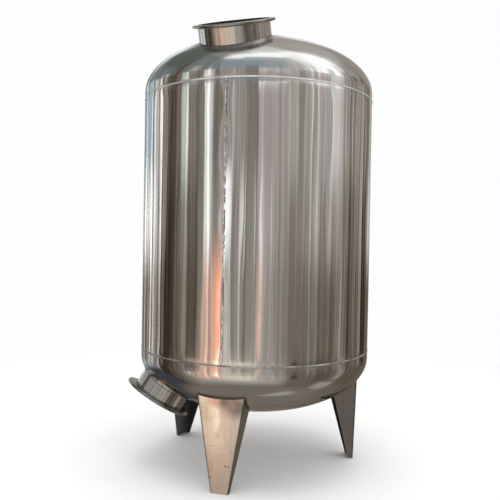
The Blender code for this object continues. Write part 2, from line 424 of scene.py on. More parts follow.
class Effect:
    """A shader node group that is built once and placed in each material that uses it."""

    built: dict[str, bpy.types.NodeTree] = {}

    @classmethod
    def tree(
        cls, name: str, inputs: dict[str, tuple[str, object]], outputs: dict[str, str]
    ) -> tuple[bpy.types.NodeTree, bpy.types.Node, bpy.types.Node]:
        """Make the group's tree with its sockets.

        Args:
            name: name of the group.
            inputs: for each input its socket type and its usual value.
            outputs: for each output its socket type.

        Returns:
            The tree, its input node and its output node.
        """
        tree = bpy.data.node_groups.new(name, "ShaderNodeTree")
        for key, (kind, value) in inputs.items():
            socket = tree.interface.new_socket(key, in_out="INPUT", socket_type=kind)
            if value is not None:
                socket.default_value = value
        for key, kind in outputs.items():
            tree.interface.new_socket(key, in_out="OUTPUT", socket_type=kind)
        source = tree.nodes.new("NodeGroupInput")
        target = tree.nodes.new("NodeGroupOutput")
        cls.built[name] = tree
        return tree, source, target

    @classmethod
    def use(cls, tree: bpy.types.NodeTree, name: str, inputs: dict) -> bpy.types.NodeSocket:
        """Place the group of this name in a tree, built the first time, and give its output."""
        if name not in cls.built:
            BUILDERS[name]()
        return wire(tree, "ShaderNodeGroup", inputs, node_tree=cls.built[name]).outputs[0]


FLOAT = "NodeSocketFloat"
VECTOR = "NodeSocketVector"
COLOUR = "NodeSocketColor"

# How the grain, the marks and the scratches are broken up
GRAIN_ROUGHNESS = 0.6
MARK_NOISE = {"Detail": 5.0, "Roughness": 0.62, "Distortion": 0.6}
SCRATCH_EDGE = 0.05
SCRATCH_BREAKS = {"Scale": 9.0, "Detail": 2.0}
SCRATCH_PATCHES = (0.5, 0.6)

# The broken line of heat tint beside the upright weld
SPECKLES = {"Scale": 70.0, "Detail": 2.0}
STRETCHES = {"Scale": 6.0, "Detail": 2.0}
LINE_CONTRAST = (0.90, 1.08)

# The stripes that the steel mirrors: their scales and weights, how they lean, where they
# fade upwards, how much stronger they are at the sides, and the drift of their hue
STRIPES = ((0.26, 0.50), (0.80, 0.30), (2.2, 0.20))
STRIPE_DETAIL = 2.0
STRIPE_LEAN = 0.03
STRIPE_FADE = (12.0, 40.0)
STRIPE_REST = 0.15
STRIPE_SIDES = (((55.0, 120.0), 2.3), ((10.0, -40.0), 1.8), ((-70.0, -130.0), 2.4))
NOISE_MIDDLE = 0.5
HUE_NOISE = {"Scale": 0.11, "Detail": 1.0}
HUE_LEANS = (0.7, -0.6, 0.3)


def build_round_place() -> None:
    """Coordinates in which a surface of revolution unrolls: across the grain in Z."""
    tree, source, target = Effect.tree("round_place", {"Place": (VECTOR, None)}, {"Place": VECTOR})
    parts = wire(tree, "ShaderNodeSeparateXYZ", {0: source.outputs["Place"]}).outputs
    squares = [maths(tree, "MULTIPLY", part, part) for part in (parts[0], parts[1])]
    radius = maths(tree, "SQRT", maths(tree, "ADD", *squares))
    along = maths(tree, "SUBTRACT", parts[2], radius)
    joined = wire(tree, "ShaderNodeCombineXYZ", {0: parts[0], 1: parts[1], 2: along})
    tree.links.new(joined.outputs[0], target.inputs["Place"])


def build_grain() -> None:
    """Fine lines that the mill or a polishing belt leaves, long one way and fine the other."""
    inputs = {"Place": (VECTOR, None), "Stretch": (VECTOR, (4.0, 4.0, 200.0)), "Detail": (FLOAT, 3.0)}
    tree, source, target = Effect.tree("grain", inputs, {"Value": FLOAT})
    ends = {0: source.outputs["Place"], 1: source.outputs["Stretch"]}
    place = wire(tree, "ShaderNodeVectorMath", ends, operation="MULTIPLY").outputs[0]
    noise = wire(tree, "ShaderNodeTexNoise",
                 {"Vector": place, "Scale": 1.0, "Detail": source.outputs["Detail"],
                  "Roughness": GRAIN_ROUGHNESS})
    tree.links.new(noise.outputs[0], target.inputs["Value"])


def build_marks() -> None:
    """Cloudy patches such as water marks, wiped dirt and handling marks, as a mask."""
    inputs = {
        "Place": (VECTOR, None),
        "Scale": (FLOAT, 5.0),
        "Share": (FLOAT, 0.5),
        "Edge": (FLOAT, 0.15),
    }
    tree, source, target = Effect.tree("marks", inputs, {"Mask": FLOAT})
    cloud = wire(tree, "ShaderNodeTexNoise",
                 {"Vector": source.outputs["Place"], "Scale": source.outputs["Scale"], **MARK_NOISE})
    border = maths(tree, "SUBTRACT", 1.0, source.outputs["Share"])
    mask = soft_step(tree, cloud.outputs[0], border, source.outputs["Edge"], True)
    tree.links.new(mask, target.inputs["Mask"])


def build_scratches() -> None:
    """Sparse fine scratches that run one way and break off, as a mask."""
    inputs = {"Place": (VECTOR, None), "Stretch": (VECTOR, (5.0, 5.0, 260.0)), "Rarity": (FLOAT, 0.66)}
    tree, source, target = Effect.tree("scratches", inputs, {"Mask": FLOAT})
    ends = {0: source.outputs["Place"], 1: source.outputs["Stretch"]}
    place = wire(tree, "ShaderNodeVectorMath", ends, operation="MULTIPLY").outputs[0]
    lines = wire(tree, "ShaderNodeTexNoise", {"Vector": place, "Scale": 1.0, "Detail": 1.0})
    breaks = wire(tree, "ShaderNodeTexNoise", {"Vector": source.outputs["Place"], **SCRATCH_BREAKS})
    upper = maths(tree, "ADD", source.outputs["Rarity"], SCRATCH_EDGE)
    line = remap(tree, lines.outputs[0], (source.outputs["Rarity"], upper))
    patch = remap(tree, breaks.outputs[0], SCRATCH_PATCHES, smooth=True)
    tree.links.new(maths(tree, "MULTIPLY", line, patch), target.inputs["Mask"])


def build_seam_band() -> None:
    """How near a place is to a given height, from 1 at it to 0 past its reach, as a mask."""
    inputs = {"Place": (VECTOR, None), "Height": (FLOAT, 0.0), "Reach": (FLOAT, 0.02)}
    tree, source, target = Effect.tree("level_band", inputs, {"Mask": FLOAT})
    height = wire(tree, "ShaderNodeSeparateXYZ", {0: source.outputs["Place"]}).outputs[2]
    away = maths(tree, "ABSOLUTE", maths(tree, "SUBTRACT", height, source.outputs["Height"]))
    mask = remap(tree, away, (0.0, source.outputs["Reach"]), (1.0, 0.0), smooth=True)
    tree.links.new(mask, target.inputs["Mask"])


def build_heat_line() -> None:
    """Broken dark line beside an upright weld, as a mask."""
    inputs = {"Place": (VECTOR, None), "Azimuth": (FLOAT, 0.0), "Reach": (FLOAT, 0.01)}
    tree, source, target = Effect.tree("heat_line", inputs, {"Mask": FLOAT})
    parts = wire(tree, "ShaderNodeSeparateXYZ", {0: source.outputs["Place"]}).outputs
    azimuth = maths(tree, "ARCTAN2", parts[0], maths(tree, "MULTIPLY", parts[1], -1.0))
    away = maths(tree, "ABSOLUTE", maths(tree, "SUBTRACT", azimuth, source.outputs["Azimuth"]))
    near = remap(tree, away, (0.0, source.outputs["Reach"]), (1.0, 0.0), smooth=True)
    place = source.outputs["Place"]
    speckle = wire(tree, "ShaderNodeTexNoise", {"Vector": place, **SPECKLES})
    stretch = wire(tree, "ShaderNodeTexNoise", {"Vector": place, **STRETCHES})
    dots = maths(tree, "ADD", speckle.outputs[0], stretch.outputs[0])
    mask = maths(tree, "MULTIPLY", near, remap(tree, dots, LINE_CONTRAST, smooth=True))
    tree.links.new(mask, target.inputs["Mask"])


CARD_INPUTS = {
    "Azimuth": (FLOAT, 0.0),
    "Elevation": (FLOAT, 0.0),
    "Centre": (FLOAT, 0.0),
    "Half Width": (FLOAT, 10.0),
    "Low": (FLOAT, 0.0),
    "High": (FLOAT, 10.0),
    "Edge": (FLOAT, 1.0),
    "Fade": (FLOAT, 1.0),
    "Behind": (COLOUR, None),
}


def build_studio_card() -> None:
    """One panel of the studio, seen in a direction, over what is behind it."""
    inputs = {**CARD_INPUTS, "Tone": (COLOUR, None)}
    tree, source, target = Effect.tree("studio_card", inputs, {"Colour": COLOUR})
    get = source.outputs
    away = maths(tree, "SUBTRACT", get["Azimuth"], get["Centre"])
    away = maths(tree, "ABSOLUTE", maths(tree, "WRAP", away, TURN / 2.0, -TURN / 2.0))
    across = soft_step(tree, away, get["Half Width"], get["Edge"], False)
    above = soft_step(tree, get["Elevation"], get["Low"], get["Fade"], True)
    below = soft_step(tree, get["Elevation"], get["High"], get["Fade"], False)
    mask = maths(tree, "MULTIPLY", across, maths(tree, "MULTIPLY", above, below))
    tree.links.new(blend_colour(tree, mask, get["Behind"], get["Tone"]), target.inputs["Colour"])


def build_studio_band() -> None:
    """A panel of the studio that changes its tone upwards, over what is behind it."""
    inputs = CARD_INPUTS | {key: (COLOUR, None) for key in ("Upper", "Middle", "Lower")}
    tree, source, target = Effect.tree("studio_band", inputs, {"Colour": COLOUR})
    get = source.outputs
    rising = soft_step(tree, get["Elevation"], BAND_UPPER, BAND_BLEND, True)
    falling = soft_step(tree, get["Elevation"], BAND_LOWER, BAND_BLEND, False)
    tone = blend_colour(tree, rising, get["Middle"], get["Upper"])
    tone = blend_colour(tree, falling, tone, get["Lower"])
    card = {key: get[key] for key in CARD_INPUTS}
    tree.links.new(Effect.use(tree, "studio_card", {**card, "Tone": tone}), target.inputs["Colour"])


def build_clutter() -> None:
    """Thin upright stripes in what the steel mirrors, as a tint."""
    inputs = {"Azimuth": (FLOAT, 0.0), "Elevation": (FLOAT, 0.0), "Strength": (FLOAT, 0.3),
              "Hue": (FLOAT, 0.4)}
    tree, source, target = Effect.tree("clutter", inputs, {"Tint": COLOUR})
    lean = maths(tree, "MULTIPLY", source.outputs["Elevation"], STRIPE_LEAN)
    place = maths(tree, "ADD", source.outputs["Azimuth"], lean)
    total = 0.0
    for scale, weight in STRIPES:
        inputs = {"W": place, "Scale": scale, "Detail": STRIPE_DETAIL}
        stripes = wire(tree, "ShaderNodeTexNoise", inputs, noise_dimensions="1D").outputs[0]
        total = maths(tree, "ADD", total, maths(tree, "MULTIPLY", stripes, weight))
    height = maths(tree, "ABSOLUTE", source.outputs["Elevation"])
    near = remap(tree, height, STRIPE_FADE, (1.0, STRIPE_REST), smooth=True)
    swing = maths(tree, "MULTIPLY", maths(tree, "SUBTRACT", total, NOISE_MIDDLE), near)
    swing = maths(tree, "MULTIPLY", swing, source.outputs["Strength"])
    for turn, factor in STRIPE_SIDES:
        aside = remap(tree, source.outputs["Azimuth"], turn, (1.0, factor), smooth=True)
        swing = maths(tree, "MULTIPLY", swing, aside)
    drift = wire(tree, "ShaderNodeTexNoise", {"W": source.outputs["Azimuth"], **HUE_NOISE},
                 noise_dimensions="1D").outputs[0]
    hue = maths(tree, "MULTIPLY", maths(tree, "SUBTRACT", drift, NOISE_MIDDLE), source.outputs["Hue"])
    light = [
        maths(tree, "EXPONENT", maths(tree, "ADD", swing, maths(tree, "MULTIPLY", hue, lean)))
        for lean in HUE_LEANS
    ]
    tint = wire(tree, "ShaderNodeCombineColor", dict(enumerate(light)))
    tree.links.new(tint.outputs[0], target.inputs["Tint"])


def build_spot() -> None:
    """A round spot or patch, from 1 in its middle to 0 past its reach, as a mask."""
    inputs = {"Place": (VECTOR, None), "Middle": (VECTOR, None), "Reach": (FLOAT, 0.008)}
    tree, source, target = Effect.tree("spot", inputs, {"Mask": FLOAT})
    ends = {0: source.outputs["Place"], 1: source.outputs["Middle"]}
    away = wire(tree, "ShaderNodeVectorMath", ends, operation="DISTANCE").outputs["Value"]
    mask = remap(tree, away, (0.0, source.outputs["Reach"]), (1.0, 0.0), smooth=True)
    tree.links.new(mask, target.inputs["Mask"])


BUILDERS = {
    "clutter": build_clutter,
    "round_place": build_round_place,
    "grain": build_grain,
    "heat_line": build_heat_line,
    "marks": build_marks,
    "scratches": build_scratches,
    "level_band": build_seam_band,
    "spot": build_spot,
    "studio_band": build_studio_band,
    "studio_card": build_studio_card,
}


@dataclass(frozen=True)
class SteelFinish:
    """Finish of one kind of stainless surface."""

    name: str
    colour: tuple[float, float, float]
    roughness: float
    grain: Grain = Grain.ROUND
    grain_stretch: tuple[float, float] = (3.0, 240.0)
    grain_relief: float = 0.000012
    grain_contrast: float = 0.05
    grain_range: tuple[float, float] = (0.3, 0.7)
    grain_blur: tuple[float, float] = (0.85, 1.15)
    round_turn: float = 0.25
    smear: float = 0.5
    metallic: float = 1.0
    mark_scale: float = 4.0
    mark_share: float = 0.48
    mark_colour: tuple[float, float, float] = (0.50, 0.46, 0.40)
    mark_strength: float = 0.25
    mark_roughness: float = 0.06
    scratch_rarity: float = 0.68
    scratch_strength: float = 0.25
    scratch_depth: float = 0.8
    # Bands of tint at the heights in seams, with their reach, colour, strength and added roughness:
    # heat tint beside the girth seams on the shell and heads, and on the front leg painted shade
    # towards its foot.
    seams: tuple[float, ...] = ()
    seam_reach: float = 0.022
    seam_colour: tuple[float, float, float] = (0.46, 0.40, 0.32)
    seam_strength: float = 0.15
    seam_roughness: float = 0.12
    upright_seam: float | None = None
    upright_reach: float = 0.0085
    upright_roughness: float = 0.3
    burnt_colour: tuple[float, float, float] = (0.07, 0.06, 0.05)
    pits: tuple[tuple[float, float, float], ...] = ()
    # Dark spots at given places and reaches, drawn into the colour: painted shade.
    smudges: tuple[tuple[tuple[float, float, float], float], ...] = ()
    smudge_colour: tuple[float, float, float] = (0.21, 0.195, 0.185)
    smudge_strength: float = 1.3
    ground_spots: tuple[tuple[tuple[float, float, float], float], ...] = ()
    ground_roughness: float = 0.60

    def material(self) -> bpy.types.Material:
        """Build the material: steel, its marks and scratches, and its grain.

        Returns:
            The material.
        """
        material = bpy.data.materials.new(self.name)
        material.use_nodes = True
        tree = material.node_tree
        shader = tree.nodes["Principled BSDF"]
        place = wire(tree, "ShaderNodeTexCoord", {}).outputs["Object"]
        long, fine = self.grain_stretch
        if self.grain is Grain.ROUND:
            unrolled = Effect.use(tree, "round_place", {"Place": place})
            stretch = (long, long, fine)
        else:
            unrolled = place
            stretch = (fine, fine, long)
        grain = Effect.use(tree, "grain", {"Place": unrolled, "Stretch": stretch})
        where = {"Place": place, "Scale": self.mark_scale, "Share": self.mark_share}
        marks = Effect.use(tree, "marks", where)
        scratches = Effect.use(tree, "scratches", {"Place": unrolled, "Rarity": self.scratch_rarity})
        tint = maths(tree, "MULTIPLY", marks, self.mark_strength)
        colour = blend_colour(tree, tint, (*self.colour, 1.0), (*self.mark_colour, 1.0))
        blur = maths(tree, "MULTIPLY", marks, self.mark_roughness)
        roughness = maths(tree, "ADD", self.roughness, blur)
        # Bands of tint at given heights: heat tint beside the girth seams on the shell and heads; on
        # the front leg a band at the ground is painted shade, darker and greyer towards its foot.
        for height in self.seams:
            where = {"Place": place, "Height": height, "Reach": self.seam_reach}
            band = Effect.use(tree, "level_band", where)
            tint = maths(tree, "MULTIPLY", band, self.seam_strength)
            colour = blend_colour(tree, tint, colour, (*self.seam_colour, 1.0))
            blur = maths(tree, "MULTIPLY", band, self.seam_roughness)
            roughness = maths(tree, "ADD", roughness, blur)
        if self.upright_seam is not None:
            where = {"Place": place, "Azimuth": self.upright_seam, "Reach": self.upright_reach}
            line = Effect.use(tree, "heat_line", where)
            colour = blend_colour(tree, line, colour, (*self.burnt_colour, 1.0))
            blur = maths(tree, "MULTIPLY", line, self.upright_roughness)
            roughness = maths(tree, "ADD", roughness, blur)
        for middle in self.pits:
            pit = Effect.use(tree, "spot", {"Place": place, "Middle": middle})
            colour = blend_colour(tree, pit, colour, (*self.burnt_colour, 1.0))
        # Dark spots over the colour at the given places: painted shade.
        for middle, reach in self.smudges:
            smudge = Effect.use(tree, "spot", {"Place": place, "Middle": middle, "Reach": reach})
            tint = maths(tree, "MULTIPLY", smudge, self.smudge_strength)
            colour = blend_colour(tree, tint, colour, (*self.smudge_colour, 1.0))
        for middle, reach in self.ground_spots:
            ground = Effect.use(tree, "spot", {"Place": place, "Middle": middle, "Reach": reach})
            blur = maths(tree, "MULTIPLY", ground, self.ground_roughness)
            roughness = maths(tree, "ADD", roughness, blur)
        contrast = (1.0 - self.grain_contrast, 1.0 + self.grain_contrast)
        shade = remap(tree, grain, self.grain_range, contrast)
        shaded = wire(tree, "ShaderNodeVectorMath", {0: colour, 3: shade}, operation="SCALE")
        tree.links.new(shaded.outputs[0], shader.inputs["Base Color"])
        blur = remap(tree, grain, self.grain_range, self.grain_blur)
        roughness = maths(tree, "MULTIPLY", roughness, blur)
        scratched = maths(tree, "MULTIPLY", scratches, self.scratch_strength)
        tree.links.new(maths(tree, "ADD", roughness, scratched), shader.inputs["Roughness"])
        relief = maths(tree, "SUBTRACT", grain, maths(tree, "MULTIPLY", scratches, self.scratch_depth))
        surface = {"Height": relief, "Distance": self.grain_relief, "Strength": 1.0}
        bump = wire(tree, "ShaderNodeBump", surface)
        tree.links.new(bump.outputs[0], shader.inputs["Normal"])
        shader.inputs["Metallic"].default_value = self.metallic
        shader.inputs["Anisotropic"].default_value = self.smear
        turn = self.round_turn if self.grain is Grain.ROUND else 0.0
        shader.inputs["Anisotropic Rotation"].default_value = turn
        return material


def dress(
    obj: bpy.types.Object, material: bpy.types.Material, node: str
) -> bpy.types.Object:
    """Give a piece its material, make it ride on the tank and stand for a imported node.

    Args:
        obj: the piece.
        material: its material.
        node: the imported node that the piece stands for.

    Returns:
        The piece.
    """
    obj.data.materials.clear()
    obj.data.materials.append(material)
    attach(obj, BODY)
    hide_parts(node)
    LOG.info("%s: %d points", obj.name, len(obj.data.vertices))
    return obj


def refinish(
    obj: bpy.types.Object, material: bpy.types.Material, chosen: Callable[[Vector], bool]
) -> None:
    """Give some of a piece's faces another finish.

    Args:
        obj: the piece.
        material: the other finish.
        chosen: tells from a face's middle, in the piece's own axes, whether it gets it.
    """
    obj.data.materials.append(material)
    for face in obj.data.polygons:
        if chosen(face.center):
            face.material_index = len(obj.data.materials) - 1


def sweep(
    name: str,
    path: np.ndarray,
    side: np.ndarray,
    rise: np.ndarray,
    section_side: np.ndarray,
    section_rise: np.ndarray,
    closed: bool,
) -> bpy.types.Object:
    """Carry a closed cross-section along a path.

    Args:
        name: name of the object.
        path: the path's points, n x 3.
        side: the section's first direction at each point, n x 3.
        rise: the section's second direction at each point, n x 3.
        section_side: how far each point of the section lies along side, n x m.
        section_rise: how far each point of the section lies along rise, n x m.
        closed: whether the path's end joins its start.

    Returns:
        The object.
    """
    points = (
        path[:, None, :]
        + section_side[..., None] * side[:, None, :]
        + section_rise[..., None] * rise[:, None, :]
    )
    return skin(name, points, wrap_rows=closed, wrap_columns=True, capped=not closed)


def resample(path: np.ndarray, count: int) -> tuple[np.ndarray, float]:
    """Space points evenly along a line.

    Args:
        path: the line's points.
        count: how many points to give back, ends included.

    Returns:
        The points and the line's length.
    """
    lengths = np.concatenate([[0.0], np.cumsum(np.linalg.norm(np.diff(path, axis=0), axis=1))])
    targets = np.linspace(0.0, lengths[-1], count)
    points = [np.interp(targets, lengths, path[:, axis]) for axis in range(3)]
    return np.stack(points, axis=-1), float(lengths[-1])


@dataclass
class Shell:
    """The rolled shell, its upright seam weld and the two girth welds."""

    tank: Tank
    waves: Waves = Waves(slope=0.0042, fewest=6, most=44, count=12, drift=0.9, seed=11)
    fine_waves: Waves = Waves(slope=0.0045, fewest=56, most=128, count=9, drift=1.4, seed=12)
    ripples: Ripples = Ripples()
    seam_azimuth: float = math.radians(-14.0625)
    seam_peak: float = 0.0005
    seam_peak_reach: float = 0.024
    seam_swells: tuple[tuple[float, float, float], ...] = (
        (6.0, 0.4, 0.55),
        (15.0, 2.1, 0.40),
        (37.0, 1.2, 0.12),
    )
    draw: float = 0.0006
    draw_reach: float = 0.016
    still_reach: float = 0.10
    weld_width: float = 0.008
    weld_crown: float = 0.0014
    crown_points: int = 7
    crown_base: float = 0.0001
    upright_width: float = 0.006
    heat_shift: float = math.radians(0.40)
    edge_rows: int = 12
    edge_step: float = 0.0035
    middle_rows: int = 44
    inner_rows: int = 6

    def surface(self, azimuth: np.ndarray, height: np.ndarray) -> np.ndarray:
        """Radius of the shell's outer face at azimuths and heights.

        Args:
            azimuth: azimuths of the points.
            height: heights of the points.

        Returns:
            The radius at each point.
        """
        tank = self.tank
        away = np.minimum(height - tank.bottom_seam, tank.top_seam - height)
        calm = fade(away, 0.0, self.still_reach)
        waves = self.waves.offset(azimuth, height, tank.radius)
        waves = waves + self.fine_waves.offset(azimuth, height, tank.radius)
        turn = np.angle(np.exp(1j * (azimuth - self.seam_azimuth))) * tank.radius
        swells = (size * np.sin(rate * height + start) for rate, start, size in self.seam_swells)
        swell = 1.0 + sum(swells)
        peak = self.seam_peak * swell * np.exp(-((turn / self.seam_peak_reach) ** 2))
        draw = self.draw * np.exp(-((away / self.draw_reach) ** 2))
        return tank.radius + calm * (waves + peak) - draw

    def heights(self) -> np.ndarray:
        """Heights of the outer face's rows, closer together beside the girth seams.

        Returns:
            The heights, from the bottom up.
        """
        tank = self.tank
        low = tank.bottom_seam + tank.half_gap
        high = tank.top_seam - tank.half_gap
        edge = np.arange(self.edge_rows) * self.edge_step
        start = low + edge[-1] + self.edge_step
        end = high - edge[-1] - self.edge_step
        middle = np.linspace(start, end, self.middle_rows)
        return np.concatenate([low + edge, middle, high - edge[::-1]])

    def build_plate(self) -> bpy.types.Object:
        """Build the shell's plate with both its faces.

        Returns:
            The shell.
        """
        azimuth = full_turn(SHELL_SEGMENTS)
        outer_heights = self.heights()[:, None]
        outer = round_axis(azimuth, self.surface(azimuth, outer_heights), outer_heights)
        top, bottom = outer_heights[-1, 0], outer_heights[0, 0]
        inner_heights = np.linspace(top, bottom, self.inner_rows)[:, None]
        inner = round_axis(azimuth, self.tank.radius - self.tank.plate, inner_heights)
        plate = skin("shell", np.concatenate([outer, inner]), wrap_rows=True, wrap_columns=True)
        self.tank.place(plate)
        return plate

    def build_girth_weld(self, name: str, sign: int) -> bpy.types.Object:
        """Build one girth weld: a root in the gap and a rippled crown over the plates.

        Args:
            name: name of the weld.
            sign: +1 for the top seam, -1 for the bottom one.

        Returns:
            The weld.
        """
        tank = self.tank
        length = 2.0 * math.pi * tank.radius
        count = self.ripples.stations(length)
        share = np.arange(count)[:, None] / count
        azimuth = (share * 2.0 * math.pi).ravel()
        arc = np.linspace(-1.0, 1.0, self.crown_points)[None, :]
        relief = self.ripples.relief(share, length, arc)
        crown = (self.weld_crown + self.draw) * (1.0 - arc**2) * relief
        half_root = tank.half_gap - tank.gap
        root_side = np.array([half_root, half_root, -half_root, -half_root])
        root_rise = np.array([0.0, -tank.plate, -tank.plate, 0.0])
        ones = np.ones((count, 1))
        section_side = np.concatenate([ones * arc * self.weld_width / 2.0, ones * root_side], axis=1)
        section_rise = np.concatenate([crown + tank.gap, ones * root_rise], axis=1)
        radius = np.full(count, tank.radius - self.draw)
        path = round_axis(azimuth, radius, np.full(count, tank.seam(sign)))
        out = round_axis(azimuth, np.ones(count), np.zeros(count))
        up = np.tile([0.0, 0.0, 1.0], (count, 1))
        weld = sweep(name, path, up, out, section_side, section_rise, closed=True)
        tank.place(weld)
        return weld

    def build_seam_weld(self) -> bpy.types.Object:
        """Build the upright weld that closes the rolled shell.

        Returns:
            The weld.
        """
        tank = self.tank
        margin = self.weld_width / 2.0 + tank.gap
        length = tank.top_seam - tank.bottom_seam - 2.0 * margin
        count = self.ripples.stations(length)
        share = np.linspace(0.0, 1.0, count)[:, None]
        height = tank.bottom_seam + margin + share[:, 0] * length
        azimuth = np.full(count, self.seam_azimuth)
        arc = np.linspace(-1.0, 1.0, self.crown_points)[None, :]
        relief = self.ripples.relief(share, length, arc)
        crown = self.crown_base + self.weld_crown * (1.0 - arc**2) * relief
        ones = np.ones((count, 1))
        base = np.array([1.0, -1.0]) * self.upright_width / 2.0
        section_side = np.concatenate([ones * arc * self.upright_width / 2.0, ones * base], axis=1)
        section_rise = np.concatenate([crown, np.zeros((count, 2))], axis=1)
        path = round_axis(azimuth, self.surface(azimuth, height) + tank.gap / 2.0, height)
        out = round_axis(azimuth, np.ones(count), np.zeros(count))
        across = round_axis(azimuth + math.pi / 2.0, np.ones(count), np.zeros(count))
        weld = sweep("shell_seam_weld", path, across, out, section_side, section_rise, closed=False)
        tank.place(weld)
        return weld

    def build(
        self,
        steel: bpy.types.Material,
        top_metal: bpy.types.Material,
        bottom_metal: bpy.types.Material,
        seam_metal: bpy.types.Material,
    ) -> None:
        """Build and dress the shell, its girth welds and its upright seam weld.

        Args:
            steel: material of the plate.
            top_metal: material of the top girth weld.
            bottom_metal: material of the bottom girth weld.
            seam_metal: material of the upright weld.
        """
        dress(self.build_plate(), steel, "shell")
        dress(self.build_seam_weld(), seam_metal, "shell_seam_weld")
        for side, sign, metal in (("top", 1, top_metal), ("bottom", -1, bottom_metal)):
            name = side + "_girth_weld"
            dress(self.build_girth_weld(name, sign), metal, name)


@dataclass
class Head:
    """A dished head with its straight flange and the hole for its manway."""

    tank: Tank
    side: str
    sign: int
    draw: float = 0.0006
    draw_reach: float = 0.016
    waves: Waves = Waves(slope=0.0025, fewest=3, most=22, count=8, drift=5.0, seed=23)
    wave_stretch: float = 2.0
    still_flange: float = 0.05
    still_crown: float = 0.25
    arc_rows: int = 52
    inner_rows: int = 20
    flange_step: float = 0.0035

    def outline(self, growth: float, rows: int) -> np.ndarray:
        """Radius and height over the seam along the curve, from crown to flange.

        Args:
            growth: how much the head's form is grown.
            rows: how many points the curve has.

        Returns:
            The radius and the height of each point.
        """
        angle = np.linspace(math.pi / 2.0, 0.0, rows)
        radius = (self.tank.radius + growth) * np.cos(angle)
        rise = self.tank.head_flange + (self.tank.head_depth + growth) * np.sin(angle)
        radius[0] = 0.0
        return np.stack([radius, rise], axis=-1)

    def build_plate(self) -> bpy.types.Object:
        """Build the head's plate, still without its hole.

        Returns:
            The head.
        """
        tank = self.tank
        curve = self.outline(0.0, self.arc_rows)
        flange_rise = np.arange(tank.half_gap, tank.head_flange, self.flange_step)[::-1]
        flange = np.stack([np.full_like(flange_rise, tank.radius), flange_rise], axis=-1)
        inner = self.outline(-tank.plate, self.inner_rows)[::-1]
        edge = np.array([[tank.radius - tank.plate, flange_rise[-1]]])
        outer = np.concatenate([curve, flange])
        azimuth = full_turn(HEAD_SEGMENTS)
        rise = outer[:, 1:2]
        calm = fade(rise, tank.head_flange, tank.head_flange + self.still_flange)
        calm = calm * fade(outer[:, 0:1], 0.0, self.still_crown)
        offset = calm * self.waves.offset(azimuth, rise * self.wave_stretch, tank.radius)
        draw = self.draw * np.exp(-((rise / self.draw_reach) ** 2))
        slant = outer[:, 0:1] / tank.radius**2
        tilt = np.maximum(rise - tank.head_flange, 0.0) / tank.head_depth**2
        size = np.hypot(slant, tilt)
        radius = outer[:, 0:1] + offset * slant / size - draw
        height = tank.seam(self.sign) + self.sign * (rise + offset * tilt / size)
        outer_points = round_axis(azimuth, radius, height)
        rest = np.concatenate([edge, inner])
        rest_height = tank.seam(self.sign) + self.sign * rest[:, 1:2]
        rest_points = round_axis(azimuth, rest[:, 0:1], rest_height)
        points = np.concatenate([outer_points, rest_points])
        plate = skin(self.side + "_head", points, wrap_columns=True)
        tank.place(plate)
        return plate

    def cut(self, plate: bpy.types.Object, cutter: bpy.types.Object) -> None:
        """Cut the manway's hole and keep the result as the head's mesh.

        Args:
            plate: the head.
            cutter: a solid the size of the hole, which is removed afterwards.
        """
        boolean = plate.modifiers.new("hole", "BOOLEAN")
        boolean.operation = "DIFFERENCE"
        boolean.solver = "EXACT"
        boolean.object = cutter
        bpy.context.view_layer.update()
        graph = bpy.context.evaluated_depsgraph_get()
        mesh = bpy.data.meshes.new_from_object(plate.evaluated_get(graph))
        plate.modifiers.clear()
        plate.data = mesh
        mesh.shade_smooth()
        mesh.set_sharp_from_angle(angle=SHARP_ANGLE)
        bpy.data.objects.remove(cutter, do_unlink=True)

    def build(self, steel: bpy.types.Material, cutter: bpy.types.Object) -> None:
        """Build the head, cut its hole and dress it.

        Args:
            steel: material of the head.
            cutter: a solid the size of the manway's hole.
        """
        plate = self.build_plate()
        self.cut(plate, cutter)
        dress(plate, steel, self.side + "_head")


